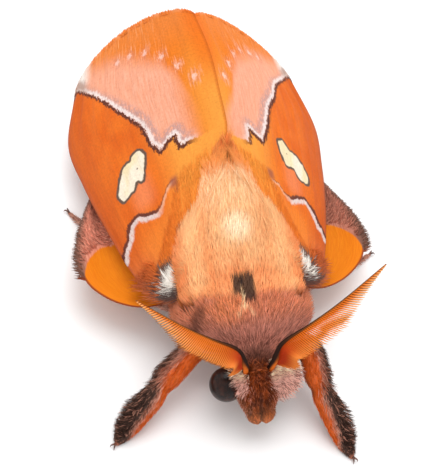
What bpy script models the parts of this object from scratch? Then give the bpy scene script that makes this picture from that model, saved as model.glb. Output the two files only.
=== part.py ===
# A lasiocampid moth at rest, life size, head towards -Y and wings closed over its back.
# The insect's own right side is -X. Every size is in metres; mm() turns millimetres into metres.

import math
import random

import bmesh
import bpy
from mathutils import Vector


def mm(x, y=None, z=None):
    if y is None:
        return x * 0.001
    return Vector((x, y, z)) * 0.001


# Gap kept between touching pieces, and how much wider than a body the plug is that keeps cutters out of it
gap = mm(0.3)
plug_margin = mm(0.02)

# Clean-up after each Boolean: points closer than this become one, and nearly flat faces are joined
weld_distance = mm(0.004)
shortest_edge = mm(0.002)
flat_degrees = 0.4

# Facets: sides and rings of the bodies, the sides of legs and palps, and edges that shade sharp
body_sides = 16
thorax_rings = 11
abdomen_rings = 12
head_rings = 8
tube_sides = 8
leg_steps = 11
leg_cutter_steps = 12
palp_steps = 5
antenna_steps = 14
antenna_root_steps = 6
eye_rings = 10
eye_sides = 16
sharp_degrees = 40
wing_sharp_degrees = 30

# Body sections: y, half width, top and underside
thorax_sections = [
    (-17.4, 1.9, 7.2, 3.9),
    (-16.2, 3.5, 8.0, 3.0),
    (-13.5, 5.0, 8.9, 2.3),
    (-10.5, 5.5, 9.9, 2.0),
    (-7.5, 5.4, 10.7, 2.2),
    (-5.0, 4.8, 10.9, 2.8),
    (-3.0, 3.8, 10.4, 3.8),
]
abdomen_sections = [
    (-2.7, 3.6, 10.0, 4.0),
    (0.0, 4.1, 10.3, 3.0),
    (4.0, 4.3, 10.6, 2.6),
    (9.0, 4.0, 10.4, 2.8),
    (13.5, 3.3, 9.9, 3.4),
    (17.0, 2.3, 9.2, 4.4),
    (19.0, 1.2, 8.5, 5.5),
]
head_sections = [
    (-17.7, 1.8, 7.1, 3.9),
    (-18.6, 2.5, 7.7, 3.0),
    (-19.8, 2.7, 7.7, 2.4),
    (-21.0, 2.3, 6.9, 2.2),
    (-22.0, 1.4, 5.6, 2.5),
]

# Eyes, palps and antennae
eye_centre = mm(2.9, -19.6, 4.4)
eye_radius = mm(1.8)
palp_points = [mm(0.85, -20.8, 4.2), mm(0.85, -22.3, 3.6), mm(0.7, -23.8, 2.9)]
palp_radii = [mm(0.6), mm(0.65), mm(0.35)]
antenna_points = [
    mm(1.2, -19.9, 6.6),
    mm(1.5, -20.0, 8.4),
    mm(2.3, -19.3, 10.2),
    mm(4.9, -18.8, 12.0),
    mm(7.8, -18.2, 14.2),
    mm(11.8, -17.0, 17.5),
]
antenna_radius = mm(0.34)
antenna_tip_radius = mm(0.22)
ray_length = mm(2.7)
ray_root_radius = mm(0.26)
rays_in_row = 17
ray_span = (0.17, 0.985)
ray_row_offset = 0.4
ray_stations = [(-0.1, 1.0), (0.55, 0.72)]
ray_bend = 0.10
ray_tip_bend = 0.16
ray_first_share = 0.55
ray_growth = 3.0
ray_last_share = 0.28
ray_fall = 1.5
# Directions of the two rows of rays: the near row hangs down, the far row stands forward
ray_rows = [Vector((0.12, -0.52, -0.84)), Vector((0.10, -0.98, -0.05))]
ray_squareness = 0.8

# Forewing: inner margin and costa from root to outer margin
forewing_inner = [
    mm(2.9, -7.6, 9.3),
    mm(3.7, -5.2, 11.9),
    mm(1.9, -1.6, 14.0),
    mm(0.26, 3.6, 15.6),
    mm(0.26, 9.4, 17.2),
    mm(0.26, 15.2, 18.1),
    mm(0.35, 21.4, 18.0),
]
forewing_costa = [
    mm(3.8, -10.2, 7.8),
    mm(8.0, -11.0, 8.0),
    mm(10.1, -7.4, 6.6),
    mm(12.5, 0.5, 5.8),
    mm(14.3, 8.5, 4.7),
    mm(15.4, 16.0, 4.0),
    mm(13.9, 23.2, 5.4),
]
forewing_knots = [0.0, 0.1, 0.2, 0.4, 0.6, 0.8, 1.0]
termen_bulge = mm(4.8)
termen_roundness = 0.6
forewing_arch = mm(0.5)
arch_direction = Vector((0.7, 0, 0.7))
arch_end = 0.9
forewing_lean = 0.85
forewing_lean_end = 0.25
wing_thickness = mm(0.5)
vein_height = mm(0.22)
vein_half_width = 0.022
forewing_veins = [0.10, 0.23, 0.35, 0.46, 0.56, 0.66, 0.76, 0.86, 0.94]
forewing_steps = 9
forewing_spacing = 0.9
forewing_cutter_columns = 12
cutter_overhang = 1.5

# The seam between the forewings wanders a little off the middle
seam_shift = [mm(0.0), mm(0.0), mm(0.2), mm(0.5), mm(0.55), mm(0.4), mm(-0.1)]

# Hindwing: it lies under the forewing, bends at its knee line and its front lobe stands out past the costa
hindwing_inner = [
    mm(3.6, -6.6, 7.8),
    mm(3.2, -4.5, 10.0),
    mm(3.0, -1.5, 11.7),
    mm(2.6, 1.5, 12.4),
    mm(2.4, 4.0, 12.9),
    mm(2.5, 7.0, 13.4),
    mm(2.6, 10.0, 13.8),
    mm(2.8, 13.0, 14.1),
    mm(3.0, 15.5, 14.1),
]
hindwing_knee = [
    mm(3.8, -7.4, 7.2),
    mm(7.0, -8.2, 6.0),
    mm(9.0, -7.0, 5.3),
    mm(10.3, -4.6, 4.9),
    mm(11.0, -2.3, 4.8),
    mm(11.7, 0.8, 4.5),
    mm(12.3, 4.3, 4.1),
    mm(12.0, 8.3, 4.2),
    mm(10.9, 12.4, 5.2),
]
hindwing_costa = [
    mm(4.0, -8.4, 6.6),
    mm(8.6, -9.7, 5.4),
    mm(12.2, -8.6, 4.9),
    mm(15.0, -6.2, 5.1),
    mm(15.9, -3.3, 5.3),
    mm(15.5, 0.6, 5.0),
    mm(14.5, 4.6, 4.2),
    mm(13.0, 8.9, 3.9),
    mm(11.6, 13.0, 4.7),
]
hindwing_knots = [0.0, 0.12, 0.23, 0.33, 0.43, 0.56, 0.7, 0.85, 1.0]
knee_place = 0.55
hindwing_veins = [0.14, 0.36, 0.56, 0.74, 0.90]
hindwing_steps = 9
hindwing_cutter_columns = 8
hindwing_lean = 0.75
hindwing_lean_start = 0.35
hindwing_lean_end = 0.75

# Legs: hip to claw, for the insect's own right side (-X) and left side (+X)
leg_points = {
    "foreleg_right": [mm(-3.0, -14.0, 4.0), mm(-5.6, -15.2, 4.2), mm(-9.3, -18.2, 3.1),
                      mm(-11.9, -20.4, 1.6), mm(-13.3, -21.5, 0.5), mm(-14.4, -22.4, 0.22)],
    "foreleg_left": [mm(3.2, -14.2, 4.2), mm(6.2, -16.9, 4.6), mm(6.6, -20.2, 3.7),
                     mm(7.7, -23.9, 1.8), mm(8.3, -25.8, 0.5), mm(8.9, -27.4, 0.22)],
    "midleg_right": [mm(-3.6, -9.6, 3.6), mm(-6.6, -8.2, 3.0), mm(-9.6, -5.6, 2.0),
                     mm(-11.6, -3.2, 0.9), mm(-12.4, -1.6, 0.36), mm(-12.7, -0.2, 0.2)],
    "midleg_left": [mm(3.6, -9.6, 3.6), mm(6.8, -8.4, 3.0), mm(11.0, -5.8, 2.0),
                    mm(14.6, -3.8, 0.9), mm(16.4, -3.0, 0.36), mm(18.1, -2.1, 0.2)],
    "hindleg_right": [mm(-3.2, -6.0, 3.8), mm(-6.0, -2.6, 3.0), mm(-10.2, 1.6, 2.0),
                      mm(-13.6, 5.4, 0.9), mm(-14.9, 7.0, 0.36), mm(-16.2, 8.8, 0.2)],
    "hindleg_left": [mm(3.2, -6.0, 3.8), mm(5.8, -2.4, 3.0), mm(9.0, 2.8, 2.0),
                     mm(11.4, 7.2, 0.9), mm(12.1, 9.2, 0.36), mm(12.6, 11.2, 0.2)],
}
leg_radii = {
    "foreleg": [mm(0.9), mm(1.15), mm(1.25), mm(1.0), mm(0.75), mm(0.35)],
    "midleg": [mm(0.8), mm(0.9), mm(0.85), mm(0.6), mm(0.5), mm(0.3)],
    "hindleg": [mm(0.8), mm(0.9), mm(0.8), mm(0.6), mm(0.5), mm(0.3)],
}

# Tapered locks along a foreleg's outer side
fringe_locks = 9
fringe_start = 0.30
fringe_span = 0.56
fringe_length = mm(1.3)
fringe_width = mm(0.9)
fringe_thickness = mm(0.55)
fringe_lift = mm(0.3)
fringe_sink = 0.75
fringe_slant = 0.3
fringe_floor = mm(0.05)

# A lock of hair: place along it, rise and width at each section, then its root and tip
lock_stations = [(-0.22, -0.10, 0.85), (0.22, 0.45, 1.0), (0.62, 0.85, 0.72)]
lock_root_depth = mm(0.7)
lock_root_back = mm(0.3)
lock_tip_rise = 0.8

# Locks in staggered rows over the top and sides of the thorax, all lying towards the tail
coat_rows = 7
coat_row_locks = 8
coat_end_row_locks = 5
coat_start = 0.04
coat_span = 0.92
coat_spread_degrees = 205
coat_length = mm(4.6)
coat_lock_width = mm(2.6)
coat_lock_thickness = mm(0.7)
coat_lift = [mm(1.1), mm(1.8), mm(2.0), mm(2.0), mm(1.9), mm(2.3), mm(3.0)]
coat_reach = [0.8, 0.85, 1.0, 1.0, 1.05, 1.2, 1.45]
coat_rise = [0.12, 0.12, 0.12, 0.14, 0.2, 0.34, 0.4]
coat_fan = [0.21, 0.21, 0.21, 0.21, 0.21, 0.525, 0.525]
coat_lie = 0.7
coat_turn = 0.04
coat_curl = 0.12

# Short locks on the crown, the brow and the cheeks: place along the head, angle, lie and length
head_lock_width = mm(1.3)
head_lock_thickness = mm(0.55)
head_lock_lift = mm(0.35)
head_locks = [
    (0.20, 90, (0.0, 0.5, 0.9), 1.9),
    (0.24, 58, (0.5, 0.4, 0.8), 1.7),
    (0.24, 122, (-0.5, 0.4, 0.8), 1.7),
    (0.46, 90, (0.0, -0.5, 0.8), 1.5),
    (0.50, 66, (0.5, -0.5, 0.6), 1.4),
    (0.50, 114, (-0.5, -0.5, 0.6), 1.4),
    (0.70, 90, (0.0, -0.9, 0.2), 1.6),
    (0.72, 60, (0.5, -0.9, 0.1), 1.5),
    (0.72, 120, (-0.5, -0.9, 0.1), 1.5),
    (0.88, 90, (0.0, -1.0, -0.4), 1.7),
    (0.88, 35, (0.5, -0.9, -0.4), 1.3),
    (0.88, 145, (-0.5, -0.9, -0.4), 1.3),
]


def clear_scene():
    for item in list(bpy.data.objects):
        bpy.data.objects.remove(item, do_unlink=True)


def material(name, colour, roughness):
    made = bpy.data.materials.new(name)
    made.use_nodes = True
    shader = made.node_tree.nodes["Principled BSDF"]
    shader.inputs["Base Color"].default_value = (*colour, 1.0)
    shader.inputs["Roughness"].default_value = roughness
    return made


def add_object(name, vertices, faces, finish=None):
    mesh = bpy.data.meshes.new(name)
    mesh.from_pydata([tuple(point) for point in vertices], [], faces)
    work = bmesh.new()
    work.from_mesh(mesh)
    bmesh.ops.triangulate(work, faces=work.faces[:])
    bmesh.ops.recalc_face_normals(work, faces=work.faces[:])
    if work.calc_volume(signed=True) < 0:
        bmesh.ops.reverse_faces(work, faces=work.faces[:])
    work.to_mesh(mesh)
    work.free()
    made = bpy.data.objects.new(name, mesh)
    bpy.context.scene.collection.objects.link(made)
    if finish is not None:
        mesh.materials.append(finish)
    return made


# A smooth curve through points, each reached at its own knot value
def curve_at(knots, points, value):
    last = len(knots) - 1
    index = 0
    while index < last - 1 and value > knots[index + 1]:
        index += 1
    step = knots[index + 1] - knots[index]
    part = (value - knots[index]) / step

    def slope(k):
        low = max(k - 1, 0)
        high = min(k + 1, last)
        return (points[high] - points[low]) / (knots[high] - knots[low])

    square = part * part
    cube = square * part
    return (points[index] * (2 * cube - 3 * square + 1)
            + slope(index) * (step * (cube - 2 * square + part))
            + points[index + 1] * (3 * square - 2 * cube)
            + slope(index + 1) * (step * (cube - square)))


def even_knots(points):
    return [k / (len(points) - 1) for k in range(len(points))]


# A closed body lofted from sections along Y, grown outwards by grow
def body_loft(name, sections, sides=body_sides, rings=thorax_rings, grow=0.0, finish=None):
    knots = even_knots(sections)
    rows = [Vector((mm(w), mm(top), mm(low))) for y, w, top, low in sections]
    places = [mm(section[0]) for section in sections]
    onward = math.copysign(grow, places[-1] - places[0])
    vertices = []
    for ring in range(rings):
        value = ring / (rings - 1)
        width, top, low = curve_at(knots, rows, value)
        y = curve_at(knots, places, value)
        if ring == 0:
            y -= onward
        if ring == rings - 1:
            y += onward
        for side in range(sides):
            angle = 2 * math.pi * (side + 0.5) / sides
            middle = (top + low) / 2
            height = (top - low) / 2 + grow
            vertices.append(Vector(((width + grow) * math.cos(angle), y,
                                    middle + height * math.sin(angle))))
    faces = []
    for ring in range(rings - 1):
        for side in range(sides):
            a = ring * sides + side
            b = ring * sides + (side + 1) % sides
            faces.append((a, b, b + sides, a + sides))
    faces.append(tuple(range(sides)))
    faces.append(tuple((rings - 1) * sides + side for side in range(sides)))
    return add_object(name, vertices, faces, finish)


# A round tube along a smooth curve; nothing of it goes under the floor
def tube(name, points, radii, steps, sides=tube_sides, grow=0.0, finish=None, floor=None):
    knots = even_knots(points)
    sizes = [Vector((radius, 0, 0)) for radius in radii]
    centres = [curve_at(knots, points, k / steps) for k in range(steps + 1)]
    vertices = []
    across = None
    for k, centre in enumerate(centres):
        ahead = centres[min(k + 1, steps)] - centres[max(k - 1, 0)]
        ahead.normalize()
        if across is None:
            across = ahead.cross(Vector((0, 0, 1)))
        across = (across - ahead * across.dot(ahead)).normalized()
        up = across.cross(ahead)
        radius = curve_at(knots, sizes, k / steps).x + grow
        if k == 0:
            centre = centre - ahead * grow
        if k == steps:
            centre = centre + ahead * grow
        for side in range(sides):
            angle = 2 * math.pi * (side + 0.5) / sides
            point = centre + across * (radius * math.cos(angle)) + up * (radius * math.sin(angle))
            if floor is not None and point.z < floor:
                point.z = floor
            vertices.append(point)
    faces = []
    for k in range(steps):
        for side in range(sides):
            a = k * sides + side
            b = k * sides + (side + 1) % sides
            faces.append((a, b, b + sides, a + sides))
    faces.append(tuple(range(sides)))
    faces.append(tuple(steps * sides + side for side in range(sides)))
    return add_object(name, vertices, faces, finish)


# Keeps the largest closed surface of a mesh; flat_angle also joins faces that lie in one plane
def keep_largest(item, flat_angle=0.0):
    work = bmesh.new()
    work.from_mesh(item.data)
    bmesh.ops.remove_doubles(work, verts=work.verts[:], dist=weld_distance)
    bmesh.ops.dissolve_degenerate(work, dist=shortest_edge, edges=work.edges[:])
    if flat_angle:
        bmesh.ops.dissolve_limit(work, angle_limit=math.radians(flat_angle),
                                 verts=work.verts[:], edges=work.edges[:])
    bmesh.ops.triangulate(work, faces=work.faces[:])
    left = set(work.faces)
    islands = []
    while left:
        first = left.pop()
        island = [first]
        front = [first]
        while front:
            face = front.pop()
            for edge in face.edges:
                for other in edge.link_faces:
                    if other in left:
                        left.remove(other)
                        island.append(other)
                        front.append(other)
        islands.append(island)

    def volume(island):
        total = 0.0
        for face in island:
            a, b, c = (vertex.co for vertex in face.verts)
            total += a.dot(b.cross(c))
        return abs(total)

    islands.sort(key=volume)
    spare = [face for island in islands[:-1] for face in island]
    bmesh.ops.delete(work, geom=spare, context="FACES")
    loose = [vertex for vertex in work.verts if not vertex.link_faces]
    bmesh.ops.delete(work, geom=loose, context="VERTS")
    work.to_mesh(item.data)
    work.free()


# Applies one Boolean with a collection of closed pieces, which are then removed
def boolean(item, pieces, operation, flat_angle=0.0):
    group = bpy.data.collections.new(item.name + "_pieces")
    bpy.context.scene.collection.children.link(group)
    for piece in pieces:
        bpy.context.scene.collection.objects.unlink(piece)
        group.objects.link(piece)
    step = item.modifiers.new(operation.lower(), "BOOLEAN")
    step.operation = operation
    step.operand_type = "COLLECTION"
    step.collection = group
    step.solver = "EXACT"
    step.use_self = False
    graph = bpy.context.evaluated_depsgraph_get()
    made = bpy.data.meshes.new_from_object(item.evaluated_get(graph))
    item.modifiers.clear()
    finishes = [finish for finish in item.data.materials]
    item.data = made
    made.name = item.name
    made.materials.clear()
    for finish in finishes:
        made.materials.append(finish)
    for face in made.polygons:
        face.material_index = 0
    for piece in pieces:
        bpy.data.objects.remove(piece, do_unlink=True)
    bpy.data.collections.remove(group)
    keep_largest(item, flat_angle)


def smooth(item, angle=sharp_degrees):
    item.data.shade_smooth()
    item.data.set_sharp_from_angle(angle=math.radians(angle))


# A point of a forewing's upper face: s runs root to outer margin, t inner margin to costa
def forewing_point(side, s, t):
    inner = curve_at(forewing_knots, forewing_inner, s)
    costa = curve_at(forewing_knots, forewing_costa, s)
    point = inner.lerp(costa, t)
    belly = 4 * t * (1 - t)
    point.y += termen_bulge * belly ** termen_roundness * s ** 3
    point += arch_direction * (forewing_arch * belly * math.sin(math.pi * min(s, arch_end)))
    point.x *= side
    point.x += curve_at(forewing_knots, seam_shift, s) * (1 - t) ** 2
    return point


# The direction from a forewing's upper face to its lower face
def forewing_down(side, t):
    lean = forewing_lean * min(1.0, t / forewing_lean_end)
    return Vector((-side * lean, 0, -1)).normalized()


# A membrane with veins raised in its upper face, from a function that gives its points
def membrane(name, place, down, across, along, veins, thickness, finish=None):
    top = []
    low = []
    for s in along:
        for t in across:
            point = place(s, t)
            lift = vein_height if t in veins else 0.0
            top.append(point - down(t) * lift)
            low.append(point + down(t) * thickness)
    columns = len(across)
    rows = len(along)
    count = len(top)
    faces = []
    for row in range(rows - 1):
        for column in range(columns - 1):
            a = row * columns + column
            b = a + 1
            c = b + columns
            d = a + columns
            faces += [(a, b, c), (a, c, d)]
            faces += [(a + count, c + count, b + count), (a + count, d + count, c + count)]
    border = [column for column in range(columns)]
    border += [row * columns + columns - 1 for row in range(1, rows)]
    border += [(rows - 1) * columns + column for column in range(columns - 2, -1, -1)]
    border += [row * columns for row in range(rows - 2, 0, -1)]
    for k, a in enumerate(border):
        b = border[(k + 1) % len(border)]
        faces += [(a, b + count, b), (a, a + count, b + count)]
    return add_object(name, top + low, faces, finish)


def lines_across(veins, low, high):
    lines = {low, high}
    for vein in veins:
        lines.update((vein - vein_half_width, vein, vein + vein_half_width))
    return sorted(line for line in lines if low <= line <= high)


def forewing(side, finish=None, grow=0.0, name="forewing"):
    veins = forewing_veins if grow == 0 else []
    across = lines_across(veins, 0.0, 1.0)
    if grow:
        across = [k / forewing_cutter_columns for k in range(forewing_cutter_columns + 1)]
    along = [(k / forewing_steps) ** forewing_spacing for k in range(forewing_steps + 1)]

    def place(s, t):
        point = forewing_point(side, s, t)
        outward = (forewing_point(side, s, 1.0) - forewing_point(side, s, 0.0)).normalized()
        if t == 0.0:
            point -= outward * (cutter_overhang * grow)
        if t == 1.0:
            point += outward * (cutter_overhang * grow)
        return point - down(t) * (grow + (vein_height if grow else 0.0))

    def down(t):
        return forewing_down(side, t)

    full = wing_thickness + 2 * grow + (vein_height if grow else 0.0)
    return membrane(name, place, down, across, along, veins, full, finish)


# A point of a hindwing's upper face: t runs from the inner margin over the knee to the costa
def hindwing_point(side, s, t):
    rows = [curve_at(hindwing_knots, points, s)
            for points in (hindwing_inner, hindwing_knee, hindwing_costa)]
    point = curve_at([0.0, knee_place, 1.0], rows, t)
    point.x *= side
    return point


def hindwing_down(side, t):
    lean = hindwing_lean * min(1.0, max(0.0, (hindwing_lean_end - t) / hindwing_lean_start))
    return Vector((-side * lean, 0, -1)).normalized()


def hindwing(side, finish=None, grow=0.0, name="hindwing"):
    veins = hindwing_veins if grow == 0 else []
    across = lines_across(veins, 0.0, 1.0)
    if grow:
        across = [k / hindwing_cutter_columns for k in range(hindwing_cutter_columns + 1)]
    along = [k / hindwing_steps for k in range(hindwing_steps + 1)]

    def down(t):
        return hindwing_down(side, t)

    def place(s, t):
        point = hindwing_point(side, s, t)
        outward = (hindwing_point(side, s, 1.0) - hindwing_point(side, s, 0.0)).normalized()
        if t == 0.0:
            point -= outward * (cutter_overhang * grow)
        if t == 1.0:
            point += outward * (cutter_overhang * grow)
        return point - down(t) * (grow + (vein_height if grow else 0.0))

    full = wing_thickness + 2 * grow + (vein_height if grow else 0.0)
    return membrane(name, place, down, across, along, veins, full, finish)


def mirrored(points, side):
    return [Vector((point.x * side, point.y, point.z)) for point in points]


def ball(name, centre, radius, finish=None, rings=eye_rings, sides=eye_sides):
    vertices = [centre + Vector((0, 0, radius))]
    for ring in range(1, rings):
        polar = math.pi * ring / rings
        for side in range(sides):
            turn = 2 * math.pi * side / sides
            vertices.append(centre + radius * Vector((math.sin(polar) * math.cos(turn),
                                                      math.sin(polar) * math.sin(turn),
                                                      math.cos(polar))))
    vertices.append(centre - Vector((0, 0, radius)))
    last = len(vertices) - 1
    faces = []
    for side in range(sides):
        after = (side + 1) % sides
        faces.append((0, 1 + side, 1 + after))
        faces.append((last, last - sides + after, last - sides + side))
        for ring in range(rings - 2):
            a = 1 + ring * sides + side
            b = 1 + ring * sides + after
            faces.append((a, a + sides, b + sides, b))
    return add_object(name, vertices, faces, finish)


# A flat tapered lock of hair: it leaves the skin, bends over and lies along its direction
def lock(root, out, along, length, width, thickness, lift, curl=0.0, floor=None):
    side = along.cross(out).normalized()
    vertices = []
    for forward, rise, size in lock_stations:
        centre = root + along * (length * forward) + out * (lift * rise)
        centre += side * (curl * length * forward * forward)
        if forward < 0:
            centre = root - out * lock_root_depth - along * lock_root_back
        half = width * size / 2
        thick = thickness * size / 2
        vertices += [centre + side * half, centre + out * thick, centre - side * half,
                     centre - out * thick]
    tip = root + along * length + out * (lift * lock_tip_rise) + side * (curl * length)
    vertices.append(tip)
    if floor is not None:
        for vertex in vertices:
            vertex.z = max(vertex.z, floor)
    faces = [(3, 2, 1, 0)]
    for ring in range(2):
        for corner in range(4):
            a = 4 * ring + corner
            b = 4 * ring + (corner + 1) % 4
            faces.append((a, b, b + 4, a + 4))
    for corner in range(4):
        faces.append((8 + corner, 8 + (corner + 1) % 4, 12))
    return add_object("lock", vertices, faces)


# A point of a lofted body's skin and its outward direction
def skin_point(sections, value, angle):
    knots = even_knots(sections)
    rows = [Vector((mm(w), mm(top), mm(low))) for y, w, top, low in sections]
    width, top, low = curve_at(knots, rows, value)
    y = curve_at(knots, [mm(section[0]) for section in sections], value)
    height = (top - low) / 2
    point = Vector((width * math.cos(angle), y, (top + low) / 2 + height * math.sin(angle)))
    out = Vector((math.cos(angle) / width, 0, math.sin(angle) / height)).normalized()
    return point, out


def thorax_locks():
    random.seed(7)
    locks = []
    for row in range(coat_rows):
        value = coat_start + coat_span * row / (coat_rows - 1)
        count = coat_end_row_locks if row in (0, coat_rows - 1) else coat_row_locks
        spread = math.radians(coat_spread_degrees)
        for k in range(count):
            part = (k + (0.75 if row % 2 else 0.25)) / count
            angle = math.pi / 2 + spread * (part - 0.5) + random.uniform(-coat_turn, coat_turn)
            root, out = skin_point(thorax_sections, value, angle)
            along = Vector((coat_fan[row] * math.cos(angle), 1.0, coat_rise[row] * math.sin(angle)))
            along = (along - out * along.dot(out) * coat_lie).normalized()
            length = coat_length * random.uniform(0.88, 1.12) * coat_reach[row]
            locks.append(lock(root, out, along, length,
                              coat_lock_width * random.uniform(0.9, 1.1), coat_lock_thickness,
                              coat_lift[row] * random.uniform(0.9, 1.05),
                              random.uniform(-coat_curl, coat_curl)))
    return locks


# Wings and forelegs grown by the gap, with the body's own shape taken out of them
def coat_cutters():
    cutters = []
    for side in (-1, 1):
        for make in (forewing, hindwing):
            cutter = make(side, grow=gap, name="cutter")
            boolean(cutter, [body_loft("plug", thorax_sections, grow=plug_margin)], "DIFFERENCE")
            cutters.append(cutter)
    for word in ("right", "left"):
        cutter = tube("cutter", leg_points["foreleg_" + word], leg_radii["foreleg"], leg_cutter_steps,
                      grow=gap)
        boolean(cutter, [body_loft("plug", thorax_sections, grow=plug_margin)], "DIFFERENCE")
        cutters.append(cutter)
    return cutters


def thorax(finish):
    made = body_loft("thorax", thorax_sections, finish=finish)
    boolean(made, thorax_locks(), "UNION", flat_degrees)
    boolean(made, coat_cutters(), "DIFFERENCE", flat_degrees)
    smooth(made)
    return made


def head(finish):
    made = body_loft("head", head_sections, rings=head_rings, finish=finish)
    locks = []
    for value, degrees, lie, length in head_locks:
        root, out = skin_point(head_sections, value, math.radians(degrees))
        along = Vector(lie).normalized()
        locks.append(lock(root, out, along, mm(length), head_lock_width, head_lock_thickness,
                          head_lock_lift))
    boolean(made, locks, "UNION", flat_degrees)
    cutters = []
    for side in (-1, 1):
        cutters.append(ball("cutter", mirrored([eye_centre], side)[0], eye_radius + gap))
        for points, radii, steps in ((palp_points, palp_radii, palp_steps),
                                     (antenna_points[:4], [antenna_radius] * 4, antenna_root_steps)):
            piece = tube("cutter", mirrored(points, side), radii, steps, grow=gap)
            plug = body_loft("plug", head_sections, rings=head_rings, grow=plug_margin)
            boolean(piece, [plug], "DIFFERENCE")
            cutters.append(piece)
    boolean(made, cutters, "DIFFERENCE", flat_degrees)
    smooth(made)
    return made


def eye(side, finish):
    name = "eye_left" if side > 0 else "eye_right"
    made = ball(name, mirrored([eye_centre], side)[0], eye_radius, finish)
    smooth(made)
    return made


def palp(side, finish):
    name = "palp_left" if side > 0 else "palp_right"
    made = tube(name, mirrored(palp_points, side), palp_radii, palp_steps, finish=finish)
    boolean(made, [body_loft("cutter", head_sections, rings=head_rings, grow=gap)], "DIFFERENCE")
    smooth(made)
    return made


# One ray of an antenna: a three-sided spike that bends towards the antenna's tip
def ray(root, direction, towards, length, radius):
    side = direction.cross(towards).normalized()
    other = direction.cross(side).normalized()
    vertices = []
    for part, size in ray_stations:
        centre = root + direction * (length * part) + towards * (ray_bend * length * part * part)
        for corner in range(3):
            turn = 2 * math.pi * corner / 3
            vertices.append(centre + (side * math.cos(turn) + other * math.sin(turn))
                            * (radius * size))
    vertices.append(root + direction * length + towards * (ray_tip_bend * length))
    faces = [(2, 1, 0)]
    for corner in range(3):
        after = (corner + 1) % 3
        faces.append((corner, after, after + 3, corner + 3))
        faces.append((3 + corner, 3 + after, 6))
    return add_object("ray", vertices, faces)


# Rays grow from short at the root to full length, and shorten again towards the tip
def ray_reach(part):
    growing = min(1.0, ray_first_share + ray_growth * part)
    falling = min(1.0, ray_last_share + ray_fall * (1 - part))
    return ray_length * growing * falling


def antenna(side, finish):
    name = "antenna_left" if side > 0 else "antenna_right"
    radii = [antenna_radius] * 5 + [antenna_tip_radius]
    path = mirrored(antenna_points, side)
    made = tube(name, path, radii, antenna_steps, finish=finish)
    knots = even_knots(path)
    rays = []
    for row, lie in enumerate(ray_rows):
        for k in range(rays_in_row):
            part = (k + ray_row_offset * row) / (rays_in_row - 1 + ray_row_offset)
            value = ray_span[0] + (ray_span[1] - ray_span[0]) * part
            root = curve_at(knots, path, value)
            ahead = (curve_at(knots, path, min(1.0, value + 0.01)) - curve_at(knots, path, value - 0.01))
            ahead.normalize()
            lie_here = Vector((lie.x * side, lie.y, lie.z))
            direction = (lie_here - ahead * lie_here.dot(ahead) * ray_squareness).normalized()
            rays.append(ray(root, direction, ahead, ray_reach(part), ray_root_radius))
    boolean(made, rays, "UNION", flat_degrees)
    boolean(made, [body_loft("cutter", head_sections, rings=head_rings, grow=gap)], "DIFFERENCE")
    smooth(made)
    return made


def fringe(points, radii, side):
    random.seed(11)
    knots = even_knots(points)
    sizes = [Vector((radius, 0, 0)) for radius in radii]
    locks = []
    for k in range(fringe_locks):
        value = fringe_start + fringe_span * k / (fringe_locks - 1)
        centre = curve_at(knots, points, value)
        ahead = (curve_at(knots, points, value + 0.01) - curve_at(knots, points, value - 0.01)).normalized()
        radius = curve_at(knots, sizes, value).x
        sideways = Vector((side, 0.25, 0.55 if k % 2 else 0.1))
        out = (sideways - ahead * sideways.dot(ahead)).normalized()
        along = (ahead + out * fringe_slant).normalized()
        locks.append(lock(centre + out * (radius * fringe_sink), out, along,
                          fringe_length * random.uniform(0.85, 1.15), fringe_width, fringe_thickness,
                          fringe_lift, floor=fringe_floor))
    return locks


def leg(name, finish):
    pair, word = name.split("_")
    radii = leg_radii[pair]
    made = tube(name, leg_points[name], radii, leg_steps, finish=finish, floor=0.0)
    if pair == "foreleg":
        boolean(made, fringe(leg_points[name], radii, 1 if word == "left" else -1), "UNION", flat_degrees)
    boolean(made, [body_loft("cutter", thorax_sections, grow=gap)], "DIFFERENCE")
    smooth(made)
    return made


def wing_part(name, make, side, finish):
    made = make(side, finish, name=name)
    boolean(made, [body_loft("cutter", thorax_sections, grow=gap)], "DIFFERENCE")
    smooth(made, wing_sharp_degrees)
    return made


# Moves everything so that the origin is under the middle of the whole insect
def centre_on_floor(items):
    corners = [vertex.co for item in items for vertex in item.data.vertices]
    low = [min(point[k] for point in corners) for k in range(3)]
    high = [max(point[k] for point in corners) for k in range(3)]
    shift = Vector((-(low[0] + high[0]) / 2, -(low[1] + high[1]) / 2, -low[2]))
    for item in items:
        for vertex in item.data.vertices:
            vertex.co += shift


def build():
    clear_scene()
    orange_wing = material("forewing_orange", (0.62, 0.17, 0.03), 0.62)
    yellow_wing = material("hindwing_orange", (0.75, 0.26, 0.03), 0.6)
    coat = material("thorax_coat", (0.62, 0.34, 0.17), 0.8)
    belly = material("abdomen_coat", (0.5, 0.24, 0.1), 0.8)
    face = material("head_coat", (0.32, 0.13, 0.05), 0.8)
    shiny = material("eye_dark", (0.02, 0.01, 0.008), 0.12)
    feeler = material("antenna_orange", (0.6, 0.18, 0.03), 0.55)
    limb = material("leg_coat", (0.36, 0.13, 0.05), 0.8)
    belly_piece = body_loft("abdomen", abdomen_sections, rings=abdomen_rings, finish=belly)
    smooth(belly_piece)
    items = [thorax(coat), belly_piece, head(face)]
    for side, word in ((-1, "right"), (1, "left")):
        items.append(eye(side, shiny))
        items.append(palp(side, face))
        items.append(antenna(side, feeler))
        items.append(wing_part("forewing_" + word, forewing, side, orange_wing))
        items.append(wing_part("hindwing_" + word, hindwing, side, yellow_wing))
        for pair in ("foreleg", "midleg", "hindleg"):
            items.append(leg(pair + "_" + word, limb))
    centre_on_floor(items)


build()
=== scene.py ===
# Looks of a lasiocampid moth at rest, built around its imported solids.
import math

import bpy
import numpy as np
from mathutils import Matrix, Vector


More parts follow.
